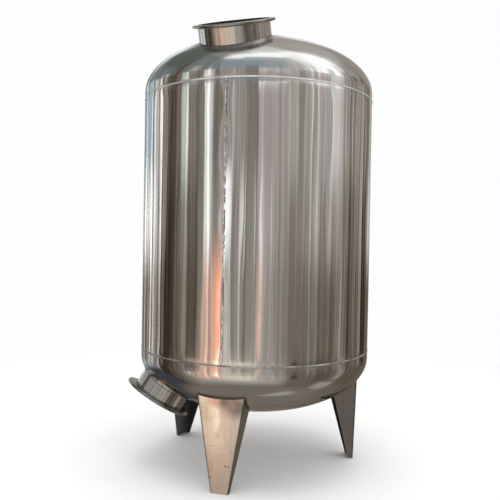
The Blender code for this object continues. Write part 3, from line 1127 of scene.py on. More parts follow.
@dataclass
class Manway:
    """A manway: its neck, its rim and the welds that hold them."""

    tank: Tank
    side: str
    sign: int
    neck_radius: float
    rim_radius: float
    waves: Waves = Waves(slope=0.050, fewest=12, most=44, count=9, drift=1.2, seed=31)
    ripples: Ripples = Ripples()
    neck_wall: float = 0.004
    rim_thickness: float = 0.016
    rim_rounding: float = 0.0055
    fillet_leg: float = 0.0028
    fillet_crown: float = 0.10
    fillet_ripple: float = 0.16
    still_reach: float = 0.03
    inner_bevel: float = 0.001
    neck_rows: int = 24
    corner_steps: int = 6
    face_points: int = 7
    matrix: Matrix = field(init=False)
    rise: float = field(init=False)

    def __post_init__(self) -> None:
        """Work the manway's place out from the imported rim."""
        low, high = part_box(self.side + "_manway_rim")
        mounts = {mount["name"]: mount for mount in frame["record"]["mounts"]}
        axis = Vector(mounts[self.side + "_manway_face"]["axis"]).normalized()
        middle = (low + high) / 2.0
        middle.x -= self.tank.axis_x
        face = middle + axis * (self.rim_thickness / 2.0)
        turn = axis.to_track_quat("Z", "Y").to_matrix().to_4x4()
        root, self.rise = self.foot_of_axis(face, axis)
        self.matrix = Matrix.Translation(root) @ turn

    def foot_of_axis(self, face: Vector, axis: Vector) -> tuple[Vector, float]:
        """Where the manway's axis meets the head's outer face.

        Args:
            face: the middle of the rim's face.
            axis: the manway's axis, pointing out.

        Returns:
            The point, and how far the rim's face stands off it.
        """
        near, far = 0.0, 3.0 * self.neck_radius
        for _ in range(HALVINGS):
            middle = (near + far) / 2.0
            spot = np.array(face - axis * middle)
            if self.tank.inside_head(spot, self.sign, 0.0):
                far = middle
            else:
                near = middle
        return face - axis * near, near

    def saddle(self, radius: float, growth: float, azimuth: np.ndarray) -> np.ndarray:
        """Height along the manway's axis at which a round wall meets the head.

        Args:
            radius: distance of the wall from the manway's axis.
            growth: how much the head's form is grown.
            azimuth: directions round the manway's axis.

        Returns:
            The height for each direction, in the manway's own axes.
        """
        low = np.full(azimuth.shape, -2.0 * radius)
        high = np.full(azimuth.shape, self.rise)
        turn = np.array(self.matrix)
        for _ in range(HALVINGS):
            middle = (low + high) / 2.0
            spots = round_axis(azimuth, radius, middle) @ turn[:3, :3].T + turn[:3, 3]
            inside = self.tank.inside_head(spots, self.sign, growth)
            low = np.where(inside, middle, low)
            high = np.where(inside, high, middle)
        return (low + high) / 2.0

    def build_neck(self) -> bpy.types.Object:
        """Build the neck, with its lower end cut to the inner face of the head.

        Returns:
            The neck.
        """
        azimuth = full_turn(MANWAY_SEGMENTS)
        share = np.linspace(0.0, 1.0, self.neck_rows)[:, None]
        nets = []
        inner_radius = self.neck_radius - self.neck_wall
        for radius, shares in ((self.neck_radius, share), (inner_radius, share[::-1])):
            foot = self.saddle(radius, -self.tank.plate, azimuth)
            height = foot + shares * (self.rise - foot)
            calm = fade(self.rise - height, 0.0, self.still_reach)
            offset = calm * self.waves.offset(azimuth, height, radius)
            nets.append(round_axis(azimuth, radius - np.abs(offset), height))
        name = self.side + "_manway_neck"
        neck = skin(name, np.concatenate(nets), wrap_rows=True, wrap_columns=True)
        self.tank.place(neck, self.matrix)
        return neck

    def build_rim(self) -> bpy.types.Object:
        """Build the rim: a flat ring with a rounded outer edge.

        Returns:
            The rim.
        """
        corner = self.rim_rounding
        inner = self.neck_radius + self.tank.gap
        outer = self.rim_radius
        top = self.rise
        bottom = self.rise - self.rim_thickness
        angle = np.linspace(0.0, math.pi / 2.0, self.corner_steps)
        sine, cosine = corner * np.sin(angle), corner * np.cos(angle)
        upper = np.stack([outer - corner + sine, top - corner + cosine], axis=-1)
        lower = np.stack([outer - corner + cosine, bottom + corner - sine], axis=-1)
        middle = (inner + outer) / 2.0
        inner_top = np.array([[inner + self.inner_bevel, top], [middle, top]])
        inner_bottom = np.array([[middle, bottom], [inner, bottom], [inner, top - self.inner_bevel]])
        outline = np.concatenate([inner_top, upper, lower, inner_bottom])
        azimuth = full_turn(MANWAY_SEGMENTS)
        rim = skin(
            self.side + "_manway_rim",
            round_axis(azimuth, outline[:, 0:1], outline[:, 1:2]),
            wrap_rows=True,
            wrap_columns=True,
        )
        self.tank.place(rim, self.matrix)
        return rim

    def toes(self, on_head: bool, azimuth: np.ndarray) -> tuple[np.ndarray, np.ndarray, np.ndarray]:
        """Corner and toes of a weld's section, as radius and height in the manway's own axes.

        Args:
            on_head: whether it is the weld at the neck's base, not the one under the rim.
            azimuth: directions round the manway's axis.

        Returns:
            For each direction the corner, the toe on the neck and the toe on the other plate.
        """
        gap = self.tank.gap
        near = self.neck_radius + gap
        far = near + self.fillet_leg
        if on_head:
            level = self.saddle(near, gap, azimuth)
            far_level = self.saddle(far, gap, azimuth)
            leg = self.fillet_leg
        else:
            level = np.full(azimuth.shape, self.rise - self.rim_thickness - gap)
            far_level = level
            leg = -self.fillet_leg
        corner = np.stack([np.full(azimuth.shape, near), level], axis=-1)
        plate_toe = np.stack([np.full(azimuth.shape, far), far_level], axis=-1)
        return corner, corner + np.array([0.0, leg]), plate_toe

    def build_bead(self, name: str, on_head: bool) -> bpy.types.Object:
        """Build the fillet weld at the neck's base or the one under its rim.

        Args:
            name: name of the weld.
            on_head: whether it is the weld at the base.

        Returns:
            The weld.
        """
        length = 2.0 * math.pi * self.neck_radius
        count = self.ripples.stations(length)
        share = np.arange(count)[:, None] / count
        azimuth = (share * 2.0 * math.pi).ravel()
        corner, neck_toe, plate_toe = self.toes(on_head, azimuth)
        step = np.linspace(0.0, 1.0, self.face_points)[None, :]
        relief = self.ripples.relief(share, length, 2.0 * step - 1.0)
        rise = self.fillet_leg * (self.fillet_crown + self.fillet_ripple * (relief - 1.0))
        rise = rise * 4.0 * step * (1.0 - step)
        outward = np.array([1.0, 1.0 if on_head else -1.0]) / math.sqrt(2.0)
        face = plate_toe[:, None] * (1.0 - step[..., None]) + neck_toe[:, None] * step[..., None]
        face = face + rise[..., None] * outward
        backs = [(neck_toe + corner) / 2.0, corner, (plate_toe + corner) / 2.0]
        section = np.concatenate([face, np.stack(backs, axis=1)], axis=1)
        points = round_axis(azimuth[:, None], section[..., 0], section[..., 1])
        weld = skin(name, points, wrap_rows=True, wrap_columns=True)
        self.tank.place(weld, self.matrix)
        return weld

    def cutter(self) -> bpy.types.Object:
        """Build a solid the size of the hole that the neck goes through.

        Returns:
            The solid.
        """
        azimuth = full_turn(MANWAY_SEGMENTS)
        radius = self.neck_radius + self.tank.gap
        top, bottom = self.rise, -self.neck_radius
        outline = np.array([[0.0, top], [radius, top], [radius, bottom], [0.0, bottom]])
        points = round_axis(azimuth, outline[:, 0:1], outline[:, 1:2])
        solid = skin(self.side + "_manway_hole", points, wrap_columns=True)
        self.tank.place(solid, self.matrix)
        return solid

    def is_inner(self, spot: Vector) -> bool:
        """Whether a spot of the neck, in the manway's own axes, is on its inner face."""
        return math.hypot(spot.x, spot.y) < self.neck_radius - self.neck_wall / 2.0

    def build(
        self,
        steel: bpy.types.Material,
        rim_steel: bpy.types.Material,
        dull: bpy.types.Material,
        weld_metal: bpy.types.Material,
        rim_weld_metal: bpy.types.Material,
    ) -> None:
        """Build and dress the manway's pieces; the neck's inner face gets a near-black finish, painted
        shade.

        Args:
            steel: material of the neck's outer face.
            rim_steel: darkened material of the rim, painted shade.
            dull: near-black material of the neck's inner face, painted shade.
            weld_metal: material of the weld at the neck's base.
            rim_weld_metal: material of the weld under the rim.
        """
        stem = self.side + "_manway"
        refinish(dress(self.build_neck(), steel, stem + "_neck"), dull, self.is_inner)
        dress(self.build_rim(), rim_steel, stem + "_rim")
        dress(self.build_bead(stem + "_weld", True), weld_metal, stem + "_weld")
        dress(self.build_bead(stem + "_rim_weld", False), rim_weld_metal, stem + "_rim_weld")


@dataclass
class Leg:
    """A leg folded from tapered plate, and the weld round its top."""

    tank: Tank
    node: str
    foot: str
    seed: int
    plate: float = 0.006
    fold_radius: float = 0.009
    top_height: float = 0.525
    top_width: float = 0.270
    foot_width: float = 0.100
    top_flange: float = 0.168
    foot_flange: float = 0.032
    weld_share: float = 0.75
    fillet_radius: float = 0.0035
    dent: float = 0.00020
    dent_rates: tuple[float, float] = (3.0, 11.0)
    dent_turns: tuple[float, float] = (1.0, 4.0)
    dent_count: int = 4
    still_reach: float = 0.08
    bow: float = 0.0026
    pull: float = 0.0007
    pull_spot: tuple[float, float] = (0.050, 0.462)
    pull_reach: tuple[float, float] = (0.045, 0.040)
    rows: int = 48
    face_columns: int = 26
    fold_columns: int = 7
    flange_columns: int = 14
    bead_points: int = 12
    ripples: Ripples = Ripples()
    azimuth: float = field(init=False)
    face_radius: float = field(init=False)

    def __post_init__(self) -> None:
        """Work the leg's place out from the mount on its foot."""
        mounts = {mount["name"]: mount for mount in frame["record"]["mounts"]}
        x, y, _ = mounts[self.foot]["pos_m"]
        x -= self.tank.axis_x
        self.azimuth = math.atan2(x, -y)
        self.face_radius = math.hypot(x, y) + self.plate / 2.0

    def matrix(self) -> Matrix:
        """Place of the leg: its origin on the ground under its outer face, Y towards the axis."""
        out = Vector((math.sin(self.azimuth), -math.cos(self.azimuth), 0.0))
        return Matrix.Translation(out * self.face_radius) @ Matrix.Rotation(self.azimuth, 4, "Z")

    def stations(self, flange_share: float) -> np.ndarray:
        """Places round the leg's section, from one flange's end over the face to the other's.

        A place from 0 to 1 is on the face's right half, from 1 to 2 on the fold and from 2
        to 3 on the right flange; places on the left half are below zero.

        Args:
            flange_share: how much of the flanges is covered.

        Returns:
            The places.
        """
        face = np.linspace(0.0, 1.0, self.face_columns // 2, endpoint=False)
        fold = np.linspace(1.0, 2.0, self.fold_columns, endpoint=False)
        flange = np.linspace(2.0, 2.0 + flange_share, self.flange_columns)
        half = np.concatenate([face, fold, flange])
        return np.concatenate([-half[:0:-1], half])

    def section(
        self, place: np.ndarray, height: np.ndarray, growth: float
    ) -> tuple[np.ndarray, np.ndarray]:
        """Where places of the section lie at a height, on a face grown outwards.

        Args:
            place: places round the section.
            height: heights.
            growth: how far the face is grown outwards.

        Returns:
            How far each point lies across and inwards, in the leg's own axes.
        """
        share = height / self.top_height
        half = (self.foot_width + share * (self.top_width - self.foot_width)) / 2.0
        depth = self.foot_flange + share * (self.top_flange - self.foot_flange)
        corner = self.fold_radius
        size = np.abs(place)
        angle = np.clip(size - 1.0, 0.0, 1.0) * math.pi / 2.0
        flat = np.clip(size, 0.0, 1.0) * (half - corner)
        across = flat + (corner + growth) * np.sin(angle)
        inward = corner - (corner + growth) * np.cos(angle)
        inward = inward + np.clip(size - 2.0, 0.0, 1.0) * (depth - corner)
        return np.sign(place) * across, inward

    def top(self, place: np.ndarray, growth: float, clearance: float) -> np.ndarray:
        """Height at which places of the section meet the bottom head.

        Args:
            place: places round the section.
            growth: how far the face is grown outwards.
            clearance: how far below the head's outer face they stop.

        Returns:
            The height of each place.
        """
        tank = self.tank
        height = np.full(place.shape, self.top_height)
        for _ in range(SETTLING_STEPS):
            across, inward = self.section(place, height, growth)
            radius = np.hypot(across, self.face_radius - inward)
            height = tank.bottom_seam - tank.head_flange - tank.head_height(radius, clearance)
        return height

    def build_plate(self) -> bpy.types.Object:
        """Build the folded plate, cut to the head at its top.

        Returns:
            The plate.
        """
        place = self.stations(1.0)[None, :]
        share = np.linspace(0.0, 1.0, self.rows)[:, None]
        chance = np.random.default_rng(self.seed)
        faces = []
        for growth in (0.0, -self.plate):
            height = share * self.top(place, growth, self.tank.gap)
            across, inward = self.section(place, height, growth)
            faces.append((across, inward, height))
        across, inward, height = (
            np.concatenate([outer, inner[:, ::-1]], axis=1) for outer, inner in zip(*faces)
        )
        calm = fade(height, 0.0, self.still_reach)
        calm = calm * fade(self.top_height - height, 0.0, self.still_reach)
        flat = np.clip(np.abs(np.concatenate([place, place[:, ::-1]], axis=1)), 0.0, 1.0)
        width = self.foot_width + height / self.top_height * (self.top_width - self.foot_width)
        width = width / self.top_width
        inward = inward - self.bow * calm * (1.0 - flat**2) * width**2
        pulled = ((across - self.pull_spot[0]) / self.pull_reach[0]) ** 2
        pulled = pulled + ((height - self.pull_spot[1]) / self.pull_reach[1]) ** 2
        inward = inward + self.pull * (1.0 - flat**4) * np.exp(-pulled)
        for _ in range(self.dent_count):
            turns = chance.uniform(*self.dent_turns, 2)
            start = chance.uniform(0.0, 2.0 * math.pi)
            phase = turns[0] * height * self.dent_rates[0]
            phase = phase + turns[1] * across * self.dent_rates[1] + start
            inward = inward + self.dent * calm * (1.0 - flat**4) * np.sin(phase)
        leg = self.net(np.stack([across, inward, height], axis=-1))
        self.tank.place(leg, self.matrix())
        return leg

    def net(self, points: np.ndarray) -> bpy.types.Object:
        """Make the plate of a net whose columns go over its outer and back over its inner face.

        Args:
            points: the net's knots.

        Returns:
            The plate, with its two ends closed.
        """
        half = points.shape[1] // 2
        ends = []
        for row in (0, -1):
            inner = points[row, half:]
            ends.append(np.concatenate([inner[::-1], inner])[None])
        return skin(self.node, np.concatenate([ends[0], points, ends[1]]), wrap_columns=True)

    def build_weld(self) -> bpy.types.Object:
        """Build the fillet weld round the top of the leg, over its face and along its flanges.

        Returns:
            The weld.
        """
        offset = self.fillet_radius + self.tank.gap
        place = self.stations(self.weld_share)
        height = self.top(place, offset, offset)
        across, inward = self.section(place, height, offset)
        line = np.stack([across, inward, height], axis=-1)
        _, length = resample(line, 2)
        count = self.ripples.stations(length)
        path, length = resample(line, count)
        along = np.gradient(path, axis=0)
        along /= np.linalg.norm(along, axis=1, keepdims=True)
        up = np.tile([0.0, 0.0, 1.0], (count, 1))
        out = np.cross(along, up)
        out /= np.linalg.norm(out, axis=1, keepdims=True)
        rise = np.cross(out, along)
        share = np.linspace(0.0, 1.0, count)[:, None]
        angle = np.linspace(0.0, 2.0 * math.pi, self.bead_points, endpoint=False)[None, :]
        across_bead = (angle + math.pi / 4.0 + math.pi) % (2.0 * math.pi) - math.pi
        relief = self.ripples.relief(share, length, across_bead / math.pi * 2.0)
        reach = self.fillet_radius * np.where(np.abs(across_bead) < math.pi / 2.0, relief, 1.0)
        name = self.node + "_weld"
        weld = sweep(name, path, out, rise, reach * np.cos(angle), reach * np.sin(angle), closed=False)
        self.tank.place(weld, self.matrix())
        return weld

    def is_inner(self, spot: Vector) -> bool:
        """Whether a spot of the plate is on its inner face.

        Args:
            spot: the spot, in the leg's own axes.

        Returns:
            Whether it is.
        """
        middle = self.plate / 2.0
        half = self.section(np.array(1.0), np.array(spot.z), 0.0)[0] + self.fold_radius
        return spot.y > middle and abs(spot.x) < half - middle

    def build(
        self, steel: bpy.types.Material, dull: bpy.types.Material, weld_metal: bpy.types.Material
    ) -> None:
        """Build and dress the leg and its weld.

        Args:
            steel: material of the plate's outer face.
            dull: near-black material of the plate's inner face, painted shade.
            weld_metal: material of the weld.
        """
        refinish(dress(self.build_plate(), steel, self.node), dull, self.is_inner)
        dress(self.build_weld(), weld_metal, self.node + "_weld")


class Tone(Enum):
    """What bright steel looks like where it mirrors a panel, in sRGB steps of 255."""

    GLARE = (252, 250, 247)
    WHITE = (230, 230, 227)
    PALE = (208, 207, 204)
    SILVER = (190, 189, 186)
    ASH = (172, 167, 161)
    LIGHT_GREY = (157, 151, 145)
    GREY = (143, 136, 129)
    STONE = (130, 123, 115)
    WARM_GREY = (120, 113, 104)
    DIM = (108, 101, 92)
    SHADE = (97, 89, 80)
    BROWN_GREY = (84, 75, 65)
    DARK = (68, 60, 51)
    NEAR_BLACK = (50, 42, 33)
    MIST = (160, 168, 173)
    HAZE = (145, 148, 148)
    BLUE_GREY = (130, 137, 141)
    SLATE = (114, 120, 122)
    FOREST = (102, 108, 106)
    GREEN_GREY = (82, 89, 83)
    NAVY = (58, 58, 60)
    ROSE_GREY = (152, 143, 138)
    DUSK = (118, 110, 106)
    TAN = (150, 136, 125)
    CREAM = (197, 188, 172)
    GLOW = (255, 232, 203)
    SAND = (216, 188, 162)
    PEACH = (188, 155, 138)
    APRICOT = (200, 167, 143)
    ORANGE = (234, 164, 134)

    def radiance(self) -> tuple[float, float, float, float]:
        """Light that a panel gives so that steel shows this tone.

        Returns:
            The light, as a colour.
        """
        shares = [step / SRGB_STEPS for step in self.value]
        linear = [((share + SRGB_OFFSET) / SRGB_SCALE) ** SRGB_POWER for share in shares]
        return (*(light / tint for light, tint in zip(linear, MIRROR_TINT)), 1.0)


# How sRGB steps turn into light
SRGB_STEPS = 255.0
SRGB_OFFSET = 0.055
SRGB_SCALE = 1.055
SRGB_POWER = 2.4

# Share of the light that the steel gives back, and where the tones of a band change
MIRROR_TINT = (0.585, 0.565, 0.540)
BAND_UPPER = 5.5
BAND_LOWER = -1.6
BAND_BLEND = 3.5

# Where an upright band begins and ends and how softly, a full turn in degrees, and the half
# width of a panel that goes all the way round
BAND_LOW = -12.0
BAND_HIGH = 16.5
BAND_FADE = 2.5
TURN = 360.0
ALL_ROUND = 400.0


@dataclass(frozen=True)
class Panel:
    """A panel of the studio, by the directions in degrees in which the tank sees it.

    It may have one tone, or other ones in its upper and lower parts.
    """

    left: float
    right: float
    low: float
    high: float
    tone: Tone
    edge: float = 1.0
    fade: float = 1.0
    upper: Tone | None = None
    lower: Tone | None = None

    def place(
        self, tree: bpy.types.NodeTree, azimuth: object, elevation: object, behind: object
    ) -> bpy.types.NodeSocket:
        """Put the panel in front of what is behind it.

        Args:
            tree: the world's node tree.
            azimuth: direction in plan, in degrees.
            elevation: direction over the horizon, in degrees.
            behind: colour of what is behind the panel.

        Returns:
            The colour with the panel.
        """
        width = (self.right - self.left) % TURN or TURN
        inputs = {
            "Azimuth": azimuth,
            "Elevation": elevation,
            "Centre": self.left + width / 2.0,
            "Half Width": width / 2.0 if width < TURN else ALL_ROUND,
            "Low": self.low,
            "High": self.high,
            "Edge": self.edge,
            "Fade": self.fade,
            "Behind": behind,
        }
        if self.upper is None or self.lower is None:
            return Effect.use(tree, "studio_card", {**inputs, "Tone": self.tone.radiance()})
        tones = {
            "Upper": self.upper.radiance(),
            "Middle": self.tone.radiance(),
            "Lower": self.lower.radiance(),
        }
        return Effect.use(tree, "studio_band", {**inputs, **tones})


def band(left: float, right: float, upper: Tone, middle: Tone, lower: Tone, edge: float = 0.7) -> Panel:
    """A panel that stands upright at the horizon, from its left to its right azimuth."""
    return Panel(left, right, BAND_LOW, BAND_HIGH, middle, edge, BAND_FADE, upper, lower)


# Everything round the tank; later panels are in front of earlier ones. One world shader
# holds about 127 of them, and past that whatever is mirrored turns black.
OVERHEAD = (
    Panel(-180, 180, 8, 95, Tone.GREY, 2, 2),
    Panel(-180, 180, 78, 95, Tone.SILVER, 2, 6),
    Panel(-178, -86, 0, 66, Tone.GREEN_GREY, 7, 6),
    Panel(-160, -98, 0, 34, Tone.FOREST, 7, 5),
    Panel(-90, -80, 0, 56, Tone.BROWN_GREY, 4, 10),
    Panel(-79, -50, 0, 62, Tone.FOREST, 4, 8),
    Panel(-70, -59, 0, 34, Tone.LIGHT_GREY, 3, 8),
    Panel(-70, -59, 34, 52, Tone.SLATE, 4, 6),
    Panel(-50, -40, 0, 56, Tone.SLATE, 4, 6),
    Panel(-40, 8, 0, 64, Tone.BLUE_GREY, 4, 8),
    Panel(6, 52, 0, 66, Tone.HAZE, 6, 9),
    Panel(-50, -43, 0, 24, Tone.GREY, 2, 5),
    Panel(-42, -38, 0, 32, Tone.FOREST, 2, 6),
    Panel(-13, -2, 0, 26, Tone.SLATE, 4, 6),
    Panel(29, 52, 0, 48, Tone.ASH, 4, 9),
    Panel(-30, 40, 46, 68, Tone.MIST, 8, 7),
    Panel(46, 64, 0, 66, Tone.PALE, 6, 8),
    Panel(104, 160, 44, 74, Tone.LIGHT_GREY, 14, 8),
    Panel(102, 124, 46, 72, Tone.ASH, 9, 10),
    Panel(118, 172, 14, 42, Tone.STONE, 6, 5),
    Panel(-24, 92, 66, 82, Tone.PALE, 12, 7),
    Panel(-8, 92, 62, 75, Tone.GLARE, 14, 5),
    Panel(-46, -20, 51, 65, Tone.WHITE, 4, 3),
    Panel(-40, -24, 54, 65, Tone.GLARE, 3, 2.5),
    Panel(-36, 98, 58, 69, Tone.GLARE, 6, 3),
    Panel(40, 104, 44, 66, Tone.WHITE, 12, 9),
    Panel(58, 99, 36, 66, Tone.GLARE, 6, 6),
    Panel(59, 90, 0, 42, Tone.GLARE, 3, 6),
    Panel(71, 79, 0, 29, Tone.SILVER, 2, 4),
    Panel(88, 99, 27, 42, Tone.PALE, 3, 4),
    Panel(90, 104, 0, 28, Tone.GREY, 3, 6),
    Panel(103, 115, 0, 22, Tone.SHADE, 3, 5),
    Panel(120, 130, 0, 23, Tone.SHADE, 3, 5),
    Panel(-106, -98, 0, 21, Tone.ASH, 2, 3),
    Panel(-162, -146, 23, 34, Tone.LIGHT_GREY, 5, 4),
    Panel(168, -156, 24, 37, Tone.PALE, 6, 5),
)

GROUND = (
    Panel(-180, 180, -95, -8, Tone.SHADE, 2, 2),
    Panel(-180, 180, -95, -57, Tone.DIM, 2, 8),
    Panel(-118, 104, -95, -58, Tone.DIM, 14, 8),
    Panel(-164, -88, -50, -8, Tone.NAVY, 5, 6),
    Panel(-172, -104, -19, -8, Tone.SLATE, 6, 4),
    Panel(-131, -119, -18, -8, Tone.GREY, 4, 3),
    Panel(-106, -90, -30, -8, Tone.NEAR_BLACK, 4, 5),
    Panel(-90, -79, -40, -8, Tone.BROWN_GREY, 3, 6),
    Panel(-79, -68, -60, -8, Tone.DIM, 3, 8),
    Panel(-69, 34, -50, -8, Tone.STONE, 7, 10),
    Panel(-68, -60, -28, -8, Tone.GREY, 3, 8),
    Panel(-60, 24, -40, -8, Tone.LIGHT_GREY, 8, 9),
    Panel(-61, -47, -32, -8, Tone.PEACH, 4, 7),
    Panel(-50, -40, -30, -8, Tone.APRICOT, 2, 7),
    Panel(-41, -29, -28, -8, Tone.SAND, 2.5, 7),
    Panel(-31, 2, -33, -8, Tone.CREAM, 4, 7),
    Panel(-39.5, -34.5, -19.5, -12, Tone.GLOW, 1.2, 2),
    Panel(-67.5, -64.5, -22, -15, Tone.CREAM, 0.8, 1.5),
    Panel(40, 62, -40, -8, Tone.SHADE, 6, 6),
    Panel(36, 42, -26, -8, Tone.DARK, 1.5, 4),
    Panel(62, 82, -36, -8, Tone.BROWN_GREY, 4, 6),
    Panel(89, 99, -32, -8, Tone.STONE, 3, 4),
    Panel(78, 104, -54, -38, Tone.GREY, 6, 4),
    Panel(103, 172, -40, -8, Tone.BROWN_GREY, 3, 6),
    Panel(176, -176, -24, -8, Tone.GREY, 3, 4),
    Panel(62, 100, -90, -68, Tone.LIGHT_GREY, 12, 5),
)

HORIZON = (
    band(-180, -163, Tone.FOREST, Tone.GREY, Tone.GREY),
    band(-163, -155, Tone.FOREST, Tone.STONE, Tone.WARM_GREY),
    band(-155, -145, Tone.BLUE_GREY, Tone.SILVER, Tone.SHADE),
    band(-145, -130, Tone.BLUE_GREY, Tone.ASH, Tone.SHADE),
    band(-139, -137.4, Tone.MIST, Tone.GLARE, Tone.DIM),
    band(-130, -124, Tone.MIST, Tone.SILVER, Tone.GREY),
    band(-128.4, -124.7, Tone.MIST, Tone.GLARE, Tone.ASH),
    band(-124.2, -121.3, Tone.DIM, Tone.DIM, Tone.STONE),
    band(-121.3, -115.4, Tone.PALE, Tone.WHITE, Tone.ASH),
    band(-115.4, -113, Tone.WARM_GREY, Tone.DIM, Tone.BROWN_GREY),
    band(-113, -107, Tone.LIGHT_GREY, Tone.LIGHT_GREY, Tone.DIM),
    band(-107, -104, Tone.DIM, Tone.SHADE, Tone.BROWN_GREY),
    band(-104, -99.3, Tone.STONE, Tone.STONE, Tone.SHADE),
    band(-99.3, -95, Tone.BROWN_GREY, Tone.DARK, Tone.NEAR_BLACK),
    band(-95, -88, Tone.DARK, Tone.NEAR_BLACK, Tone.NEAR_BLACK),
    band(-88, -79, Tone.SHADE, Tone.BROWN_GREY, Tone.BROWN_GREY),
    band(-79, -71, Tone.SILVER, Tone.STONE, Tone.DIM),
    band(-71, -59, Tone.WARM_GREY, Tone.SHADE, Tone.BROWN_GREY),
    band(-59, -53, Tone.DIM, Tone.WARM_GREY, Tone.WARM_GREY),
    band(-53.2, -42.9, Tone.PALE, Tone.PALE, Tone.PEACH, 0.4),
    band(-42.9, -40.5, Tone.WARM_GREY, Tone.GREY, Tone.PEACH),
    band(-40.5, -35.3, Tone.DIM, Tone.STONE, Tone.ORANGE),
    band(-35.3, -31.8, Tone.LIGHT_GREY, Tone.ASH, Tone.PEACH),
    band(-31.8, -25.2, Tone.GREY, Tone.WHITE, Tone.ASH, 0.4),
    band(-25.2, -22, Tone.LIGHT_GREY, Tone.SILVER, Tone.ASH, 0.5),
    band(-22, -15, Tone.GREY, Tone.STONE, Tone.STONE),
    band(-15, 0.5, Tone.DUSK, Tone.STONE, Tone.STONE),
    band(0.5, 3.8, Tone.ROSE_GREY, Tone.GREY, Tone.TAN),
    band(3.8, 17, Tone.ROSE_GREY, Tone.LIGHT_GREY, Tone.GREY),
    band(17, 29, Tone.ROSE_GREY, Tone.GREY, Tone.STONE, 2.0),
    band(29, 38, Tone.LIGHT_GREY, Tone.WARM_GREY, Tone.DIM, 1.5),
    band(38, 46, Tone.STONE, Tone.STONE, Tone.DIM, 1.5),
    band(46, 52, Tone.LIGHT_GREY, Tone.GREY, Tone.DIM, 1.0),
    band(52, 59, Tone.LIGHT_GREY, Tone.LIGHT_GREY, Tone.WARM_GREY, 1.0),
    band(59, 63, Tone.LIGHT_GREY, Tone.LIGHT_GREY, Tone.DIM),
    band(63, 70, Tone.LIGHT_GREY, Tone.STONE, Tone.SHADE),
    band(70, 73, Tone.GREY, Tone.GREY, Tone.SHADE),
    band(73, 76.5, Tone.SILVER, Tone.LIGHT_GREY, Tone.SHADE),
    band(76.5, 80, Tone.SILVER, Tone.WARM_GREY, Tone.BROWN_GREY),
    band(80, 83, Tone.ASH, Tone.STONE, Tone.SHADE),
    band(83, 88.5, Tone.SILVER, Tone.LIGHT_GREY, Tone.WARM_GREY),
    band(88.5, 92, Tone.LIGHT_GREY, Tone.STONE, Tone.GREY),
    band(92, 97.5, Tone.STONE, Tone.DIM, Tone.SHADE),
    band(97.5, 101.5, Tone.GREY, Tone.WARM_GREY, Tone.SHADE),
    band(101.5, 107, Tone.WARM_GREY, Tone.BROWN_GREY, Tone.DARK),
    band(107, 115, Tone.STONE, Tone.DIM, Tone.SHADE),
    band(115, 121, Tone.STONE, Tone.DIM, Tone.BROWN_GREY),
    band(121, 128, Tone.GREY, Tone.GREY, Tone.WARM_GREY),
    band(128, 138, Tone.DIM, Tone.DARK, Tone.NEAR_BLACK),
    band(138, 141, Tone.SHADE, Tone.SHADE, Tone.NEAR_BLACK),
    band(141, 146, Tone.DIM, Tone.GREY, Tone.BROWN_GREY),
    band(146, 158, Tone.GREY, Tone.ASH, Tone.BROWN_GREY),
    band(158, 172, Tone.SILVER, Tone.LIGHT_GREY, Tone.DIM),
    Panel(-31.2, -24.4, -1.5, 6.6, Tone.GLARE, 0.4, 1.5),
    band(-15.4, -13.2, Tone.STONE, Tone.SILVER, Tone.ASH, 0.3),
    band(-12.9, -12.0, Tone.SHADE, Tone.DIM, Tone.DIM, 0.3),
    band(-11.9, -10.4, Tone.GREY, Tone.SILVER, Tone.STONE, 0.3),
    band(-10.2, -9.2, Tone.DIM, Tone.SHADE, Tone.SHADE, 0.3),
    band(-2.9, -1.3, Tone.STONE, Tone.SILVER, Tone.LIGHT_GREY, 0.3),
    band(3.3, 4.9, Tone.ASH, Tone.WHITE, Tone.SAND, 0.3),
    band(7.2, 8.2, Tone.ROSE_GREY, Tone.LIGHT_GREY, Tone.ASH, 0.3),
    band(12.5, 13.9, Tone.ASH, Tone.PALE, Tone.ASH, 0.3),
    Panel(-0.4, 28.5, 15.1, 16.4, Tone.PALE, 0.5, 0.3),
)


def neutral(level: float) -> tuple[float, float, float, float]:
    """A grey of this brightness."""
    return (level, level, level, 1.0)


